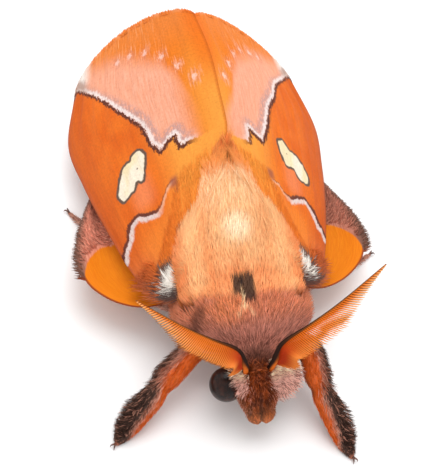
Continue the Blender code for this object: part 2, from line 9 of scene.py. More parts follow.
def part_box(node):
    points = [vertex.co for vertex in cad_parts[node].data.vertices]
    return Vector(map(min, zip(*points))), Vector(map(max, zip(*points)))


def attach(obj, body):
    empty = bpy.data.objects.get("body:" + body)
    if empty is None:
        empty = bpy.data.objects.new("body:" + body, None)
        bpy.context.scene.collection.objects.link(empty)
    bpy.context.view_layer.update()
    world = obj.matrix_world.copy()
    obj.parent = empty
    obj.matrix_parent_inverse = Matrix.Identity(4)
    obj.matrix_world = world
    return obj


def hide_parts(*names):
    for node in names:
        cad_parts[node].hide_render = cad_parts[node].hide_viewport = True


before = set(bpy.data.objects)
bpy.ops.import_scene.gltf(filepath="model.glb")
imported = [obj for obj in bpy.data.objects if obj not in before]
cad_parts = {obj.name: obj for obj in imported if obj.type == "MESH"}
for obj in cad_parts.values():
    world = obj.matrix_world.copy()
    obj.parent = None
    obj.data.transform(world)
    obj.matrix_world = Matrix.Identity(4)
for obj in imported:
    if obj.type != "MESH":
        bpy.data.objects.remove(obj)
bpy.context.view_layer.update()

print("frame loaded")

# Everything below is in millimetres in the moth's own axes, head towards -Y, its right side at -X
eyeShape = {"centre": (2.9, -19.6, 4.4), "radius": 1.75, "rings": 40}
eyeLow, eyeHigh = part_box("eye_left")
toFrame = (np.array(eyeLow) + np.array(eyeHigh)) * 500 - np.array(eyeShape["centre"])
sides = {"right": -1, "left": 1}


def unit(vectors):
    return vectors / np.maximum(np.linalg.norm(vectors, axis=-1, keepdims=True), 1e-9)


def ease(low, high, values):  # 0 before low, 1 after high, smooth between
    part = np.clip((values - low) / (high - low), 0, 1)
    return part * part * (3 - 2 * part)


def hermite(begin, finish, leave, arrive, step, part):
    square = part * part
    cube = square * part
    return (begin * (2 * cube - 3 * square + 1) + leave * step * (cube - 2 * square + part)
            + finish * (3 * square - 2 * cube) + arrive * step * (cube - square))


def curveAt(knots, rows, values):  # smooth curve that reaches each row at its own knot
    knots = np.asarray(knots, float)
    rows = np.asarray(rows, float)
    values = np.asarray(values, float)
    last = len(knots) - 1
    before = np.maximum(np.arange(last + 1) - 1, 0)
    after = np.minimum(np.arange(last + 1) + 1, last)
    slopes = (rows[after] - rows[before]) / (knots[after] - knots[before])[:, None]
    index = np.clip(np.searchsorted(knots, values, side="left") - 1, 0, last - 1)
    step = (knots[index + 1] - knots[index])[..., None]
    part = (values - knots[index])[..., None] / step
    return hermite(rows[index], rows[index + 1], slopes[index], slopes[index + 1], step, part)


def evenKnots(rows):
    return np.linspace(0, 1, len(rows))


def distanceToLine(points, line):
    nearest = np.full(len(points), 1e9)
    for first, last in zip(line[:-1], line[1:]):
        edge = last - first
        part = np.clip(((points - first) @ edge) / (edge @ edge), 0, 1)
        nearest = np.minimum(nearest, np.linalg.norm(points - first - part[:, None] * edge, axis=1))
    return nearest


def smoothLoop(loop, steps=8):  # closed outline through the given points
    loop = np.array(loop)
    before, after, beyond = np.roll(loop, 1, axis=0), np.roll(loop, -1, axis=0), np.roll(loop, -2, axis=0)
    rows = []
    for part in np.arange(steps) / steps:
        square, cube = part ** 2, part ** 3
        bend = 2 * before - 5 * loop + 4 * after - beyond
        rows.append(0.5 * (2 * loop + (after - before) * part + bend * square
                           + (3 * loop - before - 3 * after + beyond) * cube))
    return np.stack(rows, axis=1).reshape(-1, 2)


def insideLoop(s, t, loop):
    inside = np.zeros(len(s), bool)
    for (s0, t0), (s1, t1) in zip(loop, np.roll(loop, -1, axis=0)):
        crosses = (t0 > t) != (t1 > t)
        inside ^= crosses & (s < (s1 - s0) * (t - t0) / (t1 - t0 + 1e-12) + s0)
    return inside


def gridOf(first, second):
    return (part.ravel() for part in np.meshgrid(first, second, indexing="ij"))


def draw(random, count, *ranges):  # random columns, one for each range
    return np.stack([random.uniform(*limits, count) for limits in ranges], axis=1)


def chosen(keep, *rows):
    return [row[keep] for row in rows]


# Meshes

triangles = {"coat": 0, "rest": 0}
free = math.inf  # a value without a bound
fullTurn = 2 * math.pi


def makePiece(name, points, faceSets, paint, attributes=None, uv=None, replaces=()):
    mesh = bpy.data.meshes.new(name)
    mesh.vertices.add(len(points))
    mesh.vertices.foreach_set("co", ((points + toFrame) * 0.001).astype(np.float32).ravel())
    corners = np.concatenate([faces.ravel() for faces in faceSets]).astype(np.int32)
    counts = np.concatenate([np.full(len(faces), faces.shape[1]) for faces in faceSets])
    mesh.loops.add(len(corners))
    mesh.loops.foreach_set("vertex_index", corners)
    mesh.polygons.add(len(counts))
    mesh.polygons.foreach_set("loop_start", (np.cumsum(counts) - counts).astype(np.int32))
    mesh.polygons.foreach_set("use_smooth", np.ones(len(counts), bool))
    mesh.update(calc_edges=True)
    for key, values in (attributes or {}).items():
        values = np.asarray(values, np.float32)
        kind, field = ("FLOAT_VECTOR", "vector") if values.ndim == 2 else ("FLOAT", "value")
        mesh.attributes.new(key, kind, "POINT").data.foreach_set(field, values.ravel())
    if uv is not None:
        layer = mesh.uv_layers.new(name="OFBake")
        layer.data.foreach_set("uv", uv[corners].astype(np.float32).ravel())
    triangles["rest" if uv is None else "coat"] += int((counts - 2).sum())
    mesh.materials.append(paint.material)
    piece = bpy.data.objects.new(name, mesh)
    bpy.context.scene.collection.objects.link(piece)
    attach(piece, "root")
    if replaces:
        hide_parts(*replaces)
    return piece


def gridFaces(rows, columns, wrap=False, start=0, flip=False):
    row, column = gridOf(np.arange(rows - 1), np.arange(columns if wrap else columns - 1))
    a = start + row * columns + column
    b = start + row * columns + (column + 1) % columns
    faces = np.stack([a, b, b + columns, a + columns], axis=1)
    return faces[:, ::-1] if flip else faces


def sheetPiece(name, top, low, rows, columns, paint, attributes, replaces):
    count = rows * columns
    border = np.concatenate([np.arange(columns), np.arange(2, rows) * columns - 1,
                             np.arange(count - 1, count - columns - 1, -1),
                             np.arange(rows - 2, 0, -1) * columns])
    after = np.roll(border, -1)
    rim = np.stack([border, border + count, after + count, after], axis=1)
    normal = np.cross(top[1] - top[0], top[columns] - top[0])
    faceSets = [gridFaces(rows, columns), gridFaces(rows, columns, start=count, flip=True), rim]
    if np.dot(normal, top[0] - low[0]) <= 0:
        faceSets = [part[:, ::-1] for part in faceSets]
    doubled = {key: np.concatenate([values, values]) for key, values in attributes.items()}
    return makePiece(name, np.concatenate([top, low]), faceSets, paint, doubled, replaces=replaces)


def tubeFaces(rings, around):
    first = np.arange(around)
    last = first + (rings - 1) * around
    tail = rings * around
    caps = np.concatenate([
        np.stack([np.roll(first, -1), first, np.full(around, tail)], axis=1),
        np.stack([last, np.roll(last, -1), np.full(around, tail + 1)], axis=1)])
    return gridFaces(rings, around, wrap=True), caps


# A closed tube over a surface map: place(along, angle, lift) gives its points
def wrapPoints(place, alongs, around):
    along, angle = gridOf(alongs, np.linspace(0, fullTurn, around, endpoint=False))
    points = place(along, angle, np.zeros(len(along)))
    rings = points.reshape(len(alongs), around, 3)
    ends = np.stack([rings[0].mean(axis=0), rings[-1].mean(axis=0)])
    return np.concatenate([points, ends]), along, angle


def tubePiece(name, place, alongs, around, paint, replaces, inward=False):
    points = wrapPoints(place, alongs, around)[0]
    faceSets = [part[:, ::-1] if inward else part for part in tubeFaces(len(alongs), around)]
    makePiece(name, points, faceSets, paint, {"mark": points}, replaces=replaces)


def manyTubes(name, tubes, marks, rings, around, paint, replaces=()):  # equal tubes as one piece
    first = np.arange(len(tubes))[:, None, None] * len(tubes[0])
    faceSets = [(faces + first).reshape(-1, faces.shape[1]) for faces in tubeFaces(rings, around)]
    makePiece(name, np.concatenate(tubes), faceSets, paint, {"mark": np.concatenate(marks)},
              replaces=replaces)


def coreOf(place, along, angle):  # the middle line of a tube
    inside = np.full(len(along), -9.0)
    return (place(along, angle, inside) + place(along, angle + math.pi, inside)) / 2


def withEnds(rows):  # marks for the two points that close a tube
    return np.concatenate([rows, rows[[0, -1]]])


def tubeMap(path, radii, samples=160):
    knots = evenKnots(path)
    values = np.linspace(0, 1, samples)
    centres = curveAt(knots, path, values)
    sizes = curveAt(knots, np.array(radii)[:, None], values)[:, 0]
    ahead = unit(np.gradient(centres, axis=0))
    across = np.cross(ahead[0], (0.0, 0.0, 1.0))
    frames = []
    for direction in ahead:
        across = across - direction * (across @ direction)
        across = across / np.linalg.norm(across)
        frames.append(across)
    frames = np.array(frames)
    ups = np.cross(frames, ahead)

    def place(along, angle, lift):
        spot = np.clip(along, 0, 1) * (samples - 1)
        index = np.clip(spot.astype(int), 0, samples - 2)
        part = (spot - index)[:, None]
        centre = centres[index] * (1 - part) + centres[index + 1] * part
        size = sizes[index] * (1 - part[:, 0]) + sizes[index + 1] * part[:, 0]
        side = frames[index] * (1 - part) + frames[index + 1] * part
        up = ups[index] * (1 - part) + ups[index + 1] * part
        beyond = np.maximum(along - 1, 0)[:, None] * ahead[-1] * knotsLength
        out = side * np.cos(angle)[:, None] + up * np.sin(angle)[:, None]
        return centre + out * (size + lift)[:, None] + beyond

    knotsLength = float(np.linalg.norm(np.diff(centres, axis=0), axis=1).sum())
    return place


# Tufts: thin tapered blades that follow a surface map from their root to their tip

tuftShapes = {
    "long": {"stations": (0.0, 0.4, 0.75), "widths": (0.75, 1.0, 0.68)},
    "short": {"stations": (0.0, 0.5), "widths": (0.85, 0.9)},
}
bakePatch = 0.003


def tuftPiece(name, place, start, end, lift, width, paint, slot, random, mark=None, flat=0.4,
              curl=0.12, rise=0.7, sink=0.15, uvBox=((0, 0), (1, 1)), form="short", floor=0.04):
    count = len(start)
    widths = tuftShapes[form]["widths"]
    stations = np.array(tuftShapes[form]["stations"] + (1.0,))
    centres = []
    outs = []
    for station in stations:
        spot = start + (end - start) * station
        height = lift * station ** rise - sink * (1 - station)
        here = place(spot[:, 0], spot[:, 1], height)
        centres.append(here)
        outs.append(unit(place(spot[:, 0], spot[:, 1], height + 0.1) - here))
    centres = np.array(centres)
    outs = np.array(outs)
    bend = random.uniform(-curl, curl, count)
    length = np.linalg.norm(centres[-1] - centres[0], axis=1)
    tangent = unit(np.gradient(centres, axis=0))
    across = unit(np.cross(outs, tangent))
    centres = centres + across * (stations[:, None] ** 2 * bend * length)[..., None]
    tangent = unit(np.gradient(centres, axis=0))
    across = unit(np.cross(outs, tangent))
    up = np.cross(tangent, across)
    rings = []
    for k, size in enumerate(widths):
        half = (width * size / 2)[:, None]
        rings += [centres[k] + across[k] * half, centres[k] + up[k] * half * 2 * flat, centres[k] - across[k] * half]
    rings.append(centres[-1])
    points = np.stack(rings, axis=1)
    each = points.shape[1]
    points = points.reshape(-1, 3)
    points[:, 2] = np.maximum(points[:, 2], floor)
    pattern = [(0, 2, 1)]
    levels = len(widths)
    for k in range(levels - 1):
        for corner in range(3):
            a, b = 3 * k + corner, 3 * k + (corner + 1) % 3
            pattern += [(a, b, b + 3), (a, b + 3, a + 3)]
    top = 3 * (levels - 1)
    pattern += [(top + corner, top + (corner + 1) % 3, each - 1) for corner in range(3)]
    faces = (np.array(pattern)[None] + (np.arange(count) * each)[:, None, None]).reshape(-1, 3)
    tipward = np.append(np.repeat(stations[:-1], 3), 1.0)
    spread = np.append(np.tile([0.0, 0.5, 1.0], levels), 0.5)
    low, high = uvBox
    rootUv = (start - np.array(low)) / (np.array(high) - np.array(low))
    rootUv = 0.004 + 0.988 * np.clip(rootUv, 0, 1)
    patch = np.stack([spread - 0.5, tipward - 0.5], axis=1) * bakePatch
    uv = (rootUv[:, None] + patch[None]).reshape(-1, 2)
    if mark is None:
        mark = centres[-2]
    attributes = {"tipward": np.tile(tipward, count), "tone": np.repeat(random.random(count), each)}
    marks = mark if isinstance(mark, dict) else {"mark": mark}
    for key, values in marks.items():
        attributes[key] = np.repeat(values, each, axis=0)
    return makePiece(name, points, [faces], paint, attributes, uv)


# Tufts over a patch of a surface: shape holds their count, the ranges for start, travel, lift of the tip and
# width, the bounds of their ends, and any other setting of tuftPiece
def furPiece(name, place, shape, paint, slot, random, start=None, marksOf=None, liftOf=None):
    settings = dict(shape)
    count, starts, travel, lifts, widths = (settings.pop(key, None)
                                            for key in ("count", "start", "travel", "lift", "width"))
    least, most = settings.pop("ends", (-free, free))
    if start is None:
        start = draw(random, count, *starts)
    end = np.clip(start + draw(random, len(start), *travel), least, most)
    mark = marksOf(start, end) if marksOf else None
    lift = random.uniform(*lifts, len(start))
    if liftOf:
        lift = liftOf(lift, start)
    width = random.uniform(*widths, len(start))
    tuftPiece(name, place, start, end, lift, width, paint, slot, random, mark=mark, **settings)


# Shader helpers

class Wire:  # a shader socket that takes part in Python expressions
    def __init__(self, paint, socket):
        self.paint = paint
        self.socket = socket

    def maths(self, operation, first, second=0.0):
        return self.paint.node("Math", {"operation": operation}, {0: first, 1: second})

    def operator(name, reflected=False):
        def apply(self, other):
            return self.maths(name, *((other, self) if reflected else (self, other)))
        return apply

    __add__, __radd__ = operator("ADD"), operator("ADD", reflected=True)
    __sub__, __rsub__ = operator("SUBTRACT"), operator("SUBTRACT", reflected=True)
    __mul__, __rmul__ = operator("MULTIPLY"), operator("MULTIPLY", reflected=True)

    def __abs__(self):
        return self.maths("ABSOLUTE", self)

    def ramp(self, low, high):  # smooth 0 to 1 between low and high
        return self.paint.node("MapRange", {"interpolation_type": "SMOOTHSTEP"},
                               {"Value": self, "From Min": low, "From Max": high})

    def below(self, low, high):  # smooth 1 to 0 between low and high
        return 1 - self.ramp(low, high)

    def about(self, centre, inner, outer):  # 1 near a value, 0 away from it
        return abs(self - centre).below(inner, outer)


class Paint:
    def __init__(self, name, roughness, specular=0.5):
        self.material = bpy.data.materials.new(name)
        self.material.use_nodes = True
        self.tree = self.material.node_tree
        self.shader = self.tree.nodes["Principled BSDF"]
        self.shader.inputs["Roughness"].default_value = roughness
        self.shader.inputs["Specular IOR Level"].default_value = specular

    def node(self, kind, settings=None, sockets=None, output=0):
        made = self.tree.nodes.new("ShaderNode" + kind)
        for key, value in (settings or {}).items():
            setattr(made, key, value)
        for key, value in (sockets or {}).items():
            self.plug(made.inputs[key], value)
        return Wire(self, made.outputs[output])

    def plug(self, socket, value):
        if isinstance(value, Wire):
            self.tree.links.new(value.socket, socket)
        elif isinstance(value, tuple) and len(value) == 3 and socket.type == "RGBA":
            socket.default_value = (*value, 1.0)
        else:
            socket.default_value = value

    def value(self, name):
        return self.node("Attribute", {"attribute_name": name}, output=2)

    def vector(self, name):
        return self.node("Attribute", {"attribute_name": name}, output=1)

    def split(self, vector):
        parts = self.node("SeparateXYZ", sockets={0: vector})
        return [Wire(self, socket) for socket in parts.socket.node.outputs]

    def join(self, x, y, z):
        return self.node("CombineXYZ", sockets={0: x, 1: y, 2: z})

    def noise(self, vector, scale, detail=3.0, roughness=0.55):
        return self.node("TexNoise", sockets={"Vector": vector, "Scale": scale, "Detail": detail,
                                              "Roughness": roughness})

    def mix(self, factor, first, second):
        return self.node("Mix", {"data_type": "RGBA"}, {0: factor, 6: first, 7: second}, output=2)

    def layers(self, colour, *covers):  # each cover is its factor and its colour
        for factor, cover in covers:
            colour = self.mix(factor, colour, cover)
        return colour

    def scaled(self, colour, factor):
        return self.node("VectorMath", {"operation": "SCALE"}, {0: colour, "Scale": factor})

    def near(self, vector, centre, inner, outer):  # 1 inside the inner radius of a place, 0 outside
        gap = self.node("VectorMath", {"operation": "DISTANCE"}, {0: vector, 1: centre}, output=1)
        return 1 - gap.ramp(inner, outer)

    def finish(self, colour, roughness=None, height=None, depth=0.00003):
        self.plug(self.shader.inputs["Base Color"], colour)
        if roughness is not None:
            self.plug(self.shader.inputs["Roughness"], roughness)
        if height is not None:
            bump = self.node("Bump", sockets={"Height": height, "Distance": depth, "Strength": 1.0})
            self.plug(self.shader.inputs["Normal"], bump)
        return self


# Forewings

forewing = {
    "inner": [(2.9, -7.6, 9.3), (3.7, -5.2, 11.9), (1.9, -1.6, 14.0), (0.26, 3.6, 15.6), (0.26, 9.4, 17.2),
              (0.26, 15.2, 18.1), (0.35, 21.4, 18.0)],
    "costa": [(3.8, -10.2, 7.8), (8.0, -11.0, 8.0), (10.1, -7.4, 6.6), (12.5, 0.5, 5.8), (14.3, 8.5, 4.7),
              (15.4, 16.0, 4.0), (13.9, 23.2, 5.4)],
    "knots": [0.0, 0.1, 0.2, 0.4, 0.6, 0.8, 1.0],
    "seam": [0.0, 0.0, 0.2, 0.5, 0.55, 0.4, -0.1],  # how far the seam between the wings wanders to +X
    "bulge": 4.8,
    "trim": {"right": 0.0, "left": 1.25},  # how much shorter the outer margin is, in the photo the left one
    "overlap": {"right": (0.62, 0.34), "left": (-0.2, -0.12)},  # shift in X and rise where the wings meet
    "arch": 0.5,
    "veins": (0.10, 0.23, 0.35, 0.46, 0.56, 0.66, 0.76, 0.86, 0.94),
    "veinWidth": 0.011,
    "veinHeight": 0.09,
    "thickness": 0.16,
    "rows": 160,
    "columns": 96,
}
# Markings as (s, t): s runs from root to outer margin, t from inner margin to costa
wingMarks = {
    "right": {
        "postmedial": [(0.985, 1.0), (0.975, 0.96), (0.860, 0.762), (0.787, 0.659), (0.740, 0.609), (0.686, 0.551),
                       (0.624, 0.490), (0.578, 0.472), (0.537, 0.462), (0.495, 0.419), (0.511, 0.354),
                       (0.519, 0.302), (0.468, 0.290), (0.465, 0.232), (0.458, 0.163), (0.45, 0.0)],
        "antemedial": [(0.28, 1.0), (0.298, 0.967), (0.319, 0.880), (0.351, 0.824), (0.354, 0.733), (0.331, 0.672),
                       (0.311, 0.575), (0.320, 0.540), (0.343, 0.497), (0.365, 0.451), (0.374, 0.415), (0.37, 0.0)],
        "discal": [(0.547, 0.558), (0.525, 0.532), (0.504, 0.542), (0.476, 0.569), (0.448, 0.607), (0.460, 0.643),
                   (0.441, 0.685), (0.440, 0.725), (0.434, 0.757), (0.436, 0.791), (0.462, 0.808), (0.481, 0.785),
                   (0.505, 0.746), (0.532, 0.699), (0.534, 0.656), (0.534, 0.633), (0.547, 0.609)],
        "speck": (0.496, 0.608),
        "basal": [(0.137, 0.70), (0.128, 0.78), (0.118, 0.90)],
    },
    "left": {
        "postmedial": [(0.995, 1.0), (0.975, 0.95), (0.822, 0.655), (0.735, 0.571), (0.660, 0.484), (0.554, 0.422),
                       (0.476, 0.357), (0.493, 0.293), (0.504, 0.236), (0.444, 0.226), (0.435, 0.145), (0.426, 0.0)],
        "antemedial": [(0.29, 1.0), (0.308, 0.951), (0.313, 0.916), (0.336, 0.867), (0.354, 0.821), (0.363, 0.744),
                       (0.343, 0.661), (0.316, 0.589), (0.321, 0.514), (0.340, 0.463), (0.346, 0.378),
                       (0.346, 0.349), (0.34, 0.0)],
        "discal": [(0.531, 0.523), (0.544, 0.569), (0.531, 0.607), (0.522, 0.639), (0.525, 0.705), (0.511, 0.740),
                   (0.494, 0.784), (0.473, 0.815), (0.444, 0.805), (0.437, 0.754), (0.439, 0.710), (0.451, 0.684),
                   (0.460, 0.643), (0.453, 0.598), (0.461, 0.568), (0.477, 0.549), (0.505, 0.529)],
        "speck": (0.500, 0.600),
        "basal": [(0.133, 0.64), (0.134, 0.74), (0.128, 0.90)],
    },
}
pinkEdge = {"t": (0.0, 0.13, 0.19, 0.27, 0.47, 0.63, 0.77, 1.0),
            "s": (0.50, 0.60, 0.73, 0.81, 0.886, 0.933, 0.964, 1.0)}
paleSpots = ((0.909, 0.572), (0.898, 0.470), (0.876, 0.360), (0.829, 0.256), (0.762, 0.178), (0.687, 0.101))


def forewingUp(side, t):
    lean = 0.85 * np.minimum(1.0, t / 0.25)
    return unit(np.stack([side * lean, np.zeros_like(t), np.ones_like(t)], axis=1))


def forewingMap(side):
    def place(s, t, lift):
        inner = curveAt(forewing["knots"], forewing["inner"], s)
        costa = curveAt(forewing["knots"], forewing["costa"], s)
        seam = curveAt(forewing["knots"], np.array(forewing["seam"])[:, None], s)[:, 0]
        points = inner + (costa - inner) * t[:, None]
        belly = np.clip(4 * t * (1 - t), 0, 1)
        points[:, 1] += forewing["bulge"] * belly ** 0.6 * np.maximum(s, 0) ** 3
        arch = forewing["arch"] * belly * np.sin(math.pi * np.minimum(s, 0.9))
        points[:, 0] += 0.7 * arch
        points[:, 2] += 0.7 * arch
        points[:, 1] -= trim * np.clip(belly, 0, 1) ** 0.6 * np.clip(s, 0, 1.1) ** 7
        points[:, 0] *= side
        points[:, 0] += seam * (1 - t) ** 2
        meet = ease(0.3, 0.46, s) * np.clip(1 - t, 0, 1) ** 9
        points[:, 0] += shift * meet
        points[:, 2] += rise * meet
        return points + forewingUp(side, t) * lift[:, None]
    word = "left" if side > 0 else "right"
    trim = forewing["trim"][word]
    shift, rise = forewing["overlap"][word]
    return place


def onMap(place, pairs):
    return place(*np.array(pairs).T, np.zeros(len(pairs)))


def forewingMarks(word, s, t):
    place = forewingMap(sides[word])
    points = place(s, t, np.zeros_like(s))
    marks = wingMarks[word]
    found = {"mark": np.stack([s, t, np.full_like(s, sides[word])], axis=1)}
    for key in ("postmedial", "antemedial"):
        line = np.array(marks[key])
        order = np.argsort(line[:, 1])
        beyond = s > np.interp(t, line[order, 1], line[order, 0])
        found[key] = np.where(beyond, 1, -1) * distanceToLine(points, onMap(place, line))
    loop = smoothLoop(marks["discal"])
    ring = onMap(place, loop)
    gap = distanceToLine(points, np.concatenate([ring, ring[:1]]))
    found["discal"] = np.where(insideLoop(s, t, loop), -gap, gap)
    found["basal"] = distanceToLine(points, onMap(place, marks["basal"]))
    away = (points[:, None] - onMap(place, paleSpots)[None]) / np.array([1.0, 1.6, 1.6])
    found["spots"] = np.linalg.norm(away, axis=2).min(axis=1)
    found["speck"] = np.linalg.norm(points - onMap(place, [marks["speck"]]), axis=1)
    found["pink"] = s - np.interp(t, pinkEdge["t"], pinkEdge["s"])
    return found


def forewingPaint():
    paint = Paint("forewingScales", 0.7, 0.12)
    s, t, side = paint.split(paint.vector("mark"))
    streaks = paint.noise(paint.join(s * 16.0, t * 110.0, side), 1.0, 4.0)
    grain = paint.noise(paint.join(s * 130.0, t * 62.0, side), 1.0, 3.0, 0.7)
    ragged = paint.noise(paint.join(s * 60.0, t * 60.0, side), 1.0, 4.0, 0.75)
    cloud = paint.noise(paint.join(s * 6.0, t * 6.0, side), 1.0, 2.0)
    rough = ragged - 0.5
    colour = paint.layers(
        paint.mix(cloud.ramp(0.35, 0.65), (0.62, 0.108, 0.008), (0.70, 0.145, 0.012)),
        (t.ramp(0.72, 1.0) * 0.7, (0.48, 0.085, 0.014)),
        (t.ramp(0.965, 0.995) * 0.5, (0.38, 0.09, 0.04)),
        ((t + cloud * 0.12).below(0.30, 0.62) * s.ramp(0.08, 0.26) * 0.95, (0.80, 0.30, 0.045)),
        (s.about(0.41, 0.02, 0.09) * t.about(0.64, 0.02, 0.14) * 0.6, (0.76, 0.23, 0.10)),
        # Reddish brown shade at the wing's root and along the front edge near it
        (s.below(0.24, 0.36) * t.below(0.7, 0.9) * 0.6, (0.76, 0.215, 0.028)),
        (s.below(0.16, 0.30) * t.ramp(0.6, 0.9) * 0.35, (0.60, 0.20, 0.08)),
        (s.below(0.07, 0.13) * t.ramp(0.7, 0.88) * 0.85, (0.17, 0.09, 0.075)))
    # Beyond the postmedial line: pink, then orange to the outer margin, with a row of pale spots
    post = paint.value("postmedial") + rough * 1.5
    beyond = post.ramp(0.0, 0.25)
    pink = paint.mix(streaks.ramp(0.3, 0.7), (0.76, 0.30, 0.175), (0.80, 0.37, 0.245))
    fade = paint.value("pink") + (streaks - 0.5) * 0.12
    band = 1 - (t + side * 0.07 + 0.07).ramp(0.10, 0.27) * fade.below(-0.045, 0.035)
    outer = paint.layers(
        paint.mix(s.ramp(0.8, 1.0) * (streaks * 0.6 + 0.4), (0.70, 0.165, 0.010), (0.70, 0.20, 0.04)),
        (streaks.ramp(0.50, 0.70) * 0.6 * t.ramp(0.15, 0.4), (0.78, 0.34, 0.15)),
        (t.below(0.0, 0.24) * s.below(0.62, 0.95), (0.80, 0.30, 0.045)),
        (t.below(0.02, 0.12) * s.ramp(0.55, 0.8) * 0.7, (0.74, 0.14, 0.005)),
        (s.ramp(0.982, 1.0) * 0.35, (0.80, 0.36, 0.19)))
    away = paint.value("spots") + rough * 1.6
    far = paint.layers(
        paint.mix(band, pink, outer),
        (away.below(0.55, 1.2) * streaks.ramp(0.48, 0.6) * 0.45, (0.84, 0.42, 0.30)),
        (away.about(0.55, 0.1, 0.4) * ragged.ramp(0.45, 0.6) * 0.5, (0.54, 0.18, 0.11)),
        (away.below(0.1, 0.42) * 0.7, (0.82, 0.54, 0.47)))
    # Mauve and white edge inside the pink, dark line towards the root, fading at the inner margin
    strong = t.ramp(0.14, 0.26)
    inner = t.below(0.45, 0.75)
    mauve = beyond * (post - inner * 0.5).below(0.6, 1.3) * strong * ragged.ramp(0.38, 0.54)
    dark = (post + inner * 0.1).ramp(-0.38, -0.18) * post.below(0.0, 0.16) * strong
    # Antemedial line: dark towards the tip, white towards the root
    ante = paint.value("antemedial") + rough * 0.8
    reach = t.ramp(0.37, 0.42)
    wide = t.ramp(0.50, 0.62)
    narrow = 1 - wide
    line = (ante + narrow * 0.1).ramp(-0.18, -0.02) * (ante + narrow * 0.25).below(0.26, 0.48) * reach
    inside = ante.ramp(-0.85, -0.45) * ante.below(-0.14, 0.0) * wide * ragged.ramp(0.28, 0.46)
    blush = ante.ramp(-0.5, -0.2) * ante.below(-0.1, 0.02) * reach * narrow
    dot = s.about(0.365, 0.006, 0.03) * t.about(0.395, 0.01, 0.05)
    dot = dot + s.about(0.208, 0.004, 0.02) * t.about(0.415, 0.01, 0.05) * 0.7
    spot = paint.value("discal") + rough * 0.42
    cream = paint.mix(cloud.ramp(0.46, 0.6), (0.80, 0.70, 0.56), (0.78, 0.64, 0.40))
    basal = paint.value("basal") + rough * 1.6
    colour = paint.layers(
        colour,
        (beyond, far),
        (mauve * (inner * 0.35 + 0.5), (0.46, 0.27, 0.25)),
        (beyond * post.below(0.36, 0.74) * strong * 0.9, (0.76, 0.66, 0.63)),
        (dark, (0.10, 0.028, 0.018)),
        # A darker line along the inner margin, from the middle outwards, is painted shade where the wings overlap
        (t.below(0.004, 0.018) * s.ramp(0.3, 0.45) * 0.6, (0.50, 0.10, 0.008)),
        # White and grey patch at the wing tip
        (s.ramp(0.90, 0.96) * t.ramp(0.78, 0.90) * beyond, (0.78, 0.70, 0.64)),
        (post.about(0.75, 0.25, 1.0) * t.ramp(0.78, 0.90) * 0.8, (0.36, 0.20, 0.15)),
        (line * (wide * 0.35 + 0.6), (0.10, 0.03, 0.022)),
        (inside * 0.9, (0.66, 0.56, 0.53)),
        (blush * 0.7, (0.80, 0.42, 0.26)),
        (dot * 0.75, (0.26, 0.07, 0.05)),
        # Discal spot: white with a dark outline
        (spot.below(0.22, 0.40), (0.12, 0.075, 0.055)),
        (spot.below(-0.12, 0.04), cream),
        (paint.value("speck").below(0.07, 0.2), (0.12, 0.06, 0.04)),
        # White and grey patch at the wing's root
        (basal.below(1.2, 1.9) * 0.92, (0.10, 0.075, 0.068)),
        (basal.below(0.5, 0.85), (0.80, 0.74, 0.67)))
    # Grain and streaks vary the scales' brightness; on the hair the tips are painted lighter than the roots, as
    # painted light and shade among the hair
    shade = (grain * 0.60 + streaks * 0.24 + 0.59) * (paint.value("tipward") * 0.35 + 1.0)
    return paint.finish(paint.scaled(colour, shade), 0.65 + grain * 0.2, grain * 0.5 + streaks, 0.00006)


def veinsAt(t, wing):
    return sum(np.exp(-((t - vein) / wing["veinWidth"]) ** 2) for vein in wing["veins"])


def buildForewing(word, paint):
    place = forewingMap(sides[word])
    rows, columns = forewing["rows"], forewing["columns"]
    s, t = gridOf(np.linspace(0, 1, rows) ** 0.95, np.linspace(0, 1, columns))
    folds = 0.07 * ease(0.66, 0.86, s) * np.sin(t * 58 + 3 * np.sin(s * 9)) * ease(0.02, 0.1, t)
    folds = folds * (1 - ease(0.90, 1.0, s))
    slack = 0.05 * np.sin(s * 31 + t * 17) * np.sin(t * 23)
    fade = ease(0.0, 0.12, s) * ease(0.0, 0.03, t) * (1 - ease(0.97, 1.0, t))
    lift = (forewing["veinHeight"] * veinsAt(t, forewing) + folds + slack) * fade
    edge = np.minimum.reduce([t, 1 - t, 1 - s, s + 0.3])
    low = place(s, t, lift - forewing["thickness"] * (0.35 + 0.65 * ease(0.0, 0.04, edge)))
    sheetPiece(f"forewing_{word}_skin", place(s, t, lift), low, rows, columns, paint,
               forewingMarks(word, s, t), ["forewing_" + word])


# Hindwings: only the front lobe and the furry band behind it show past the forewing

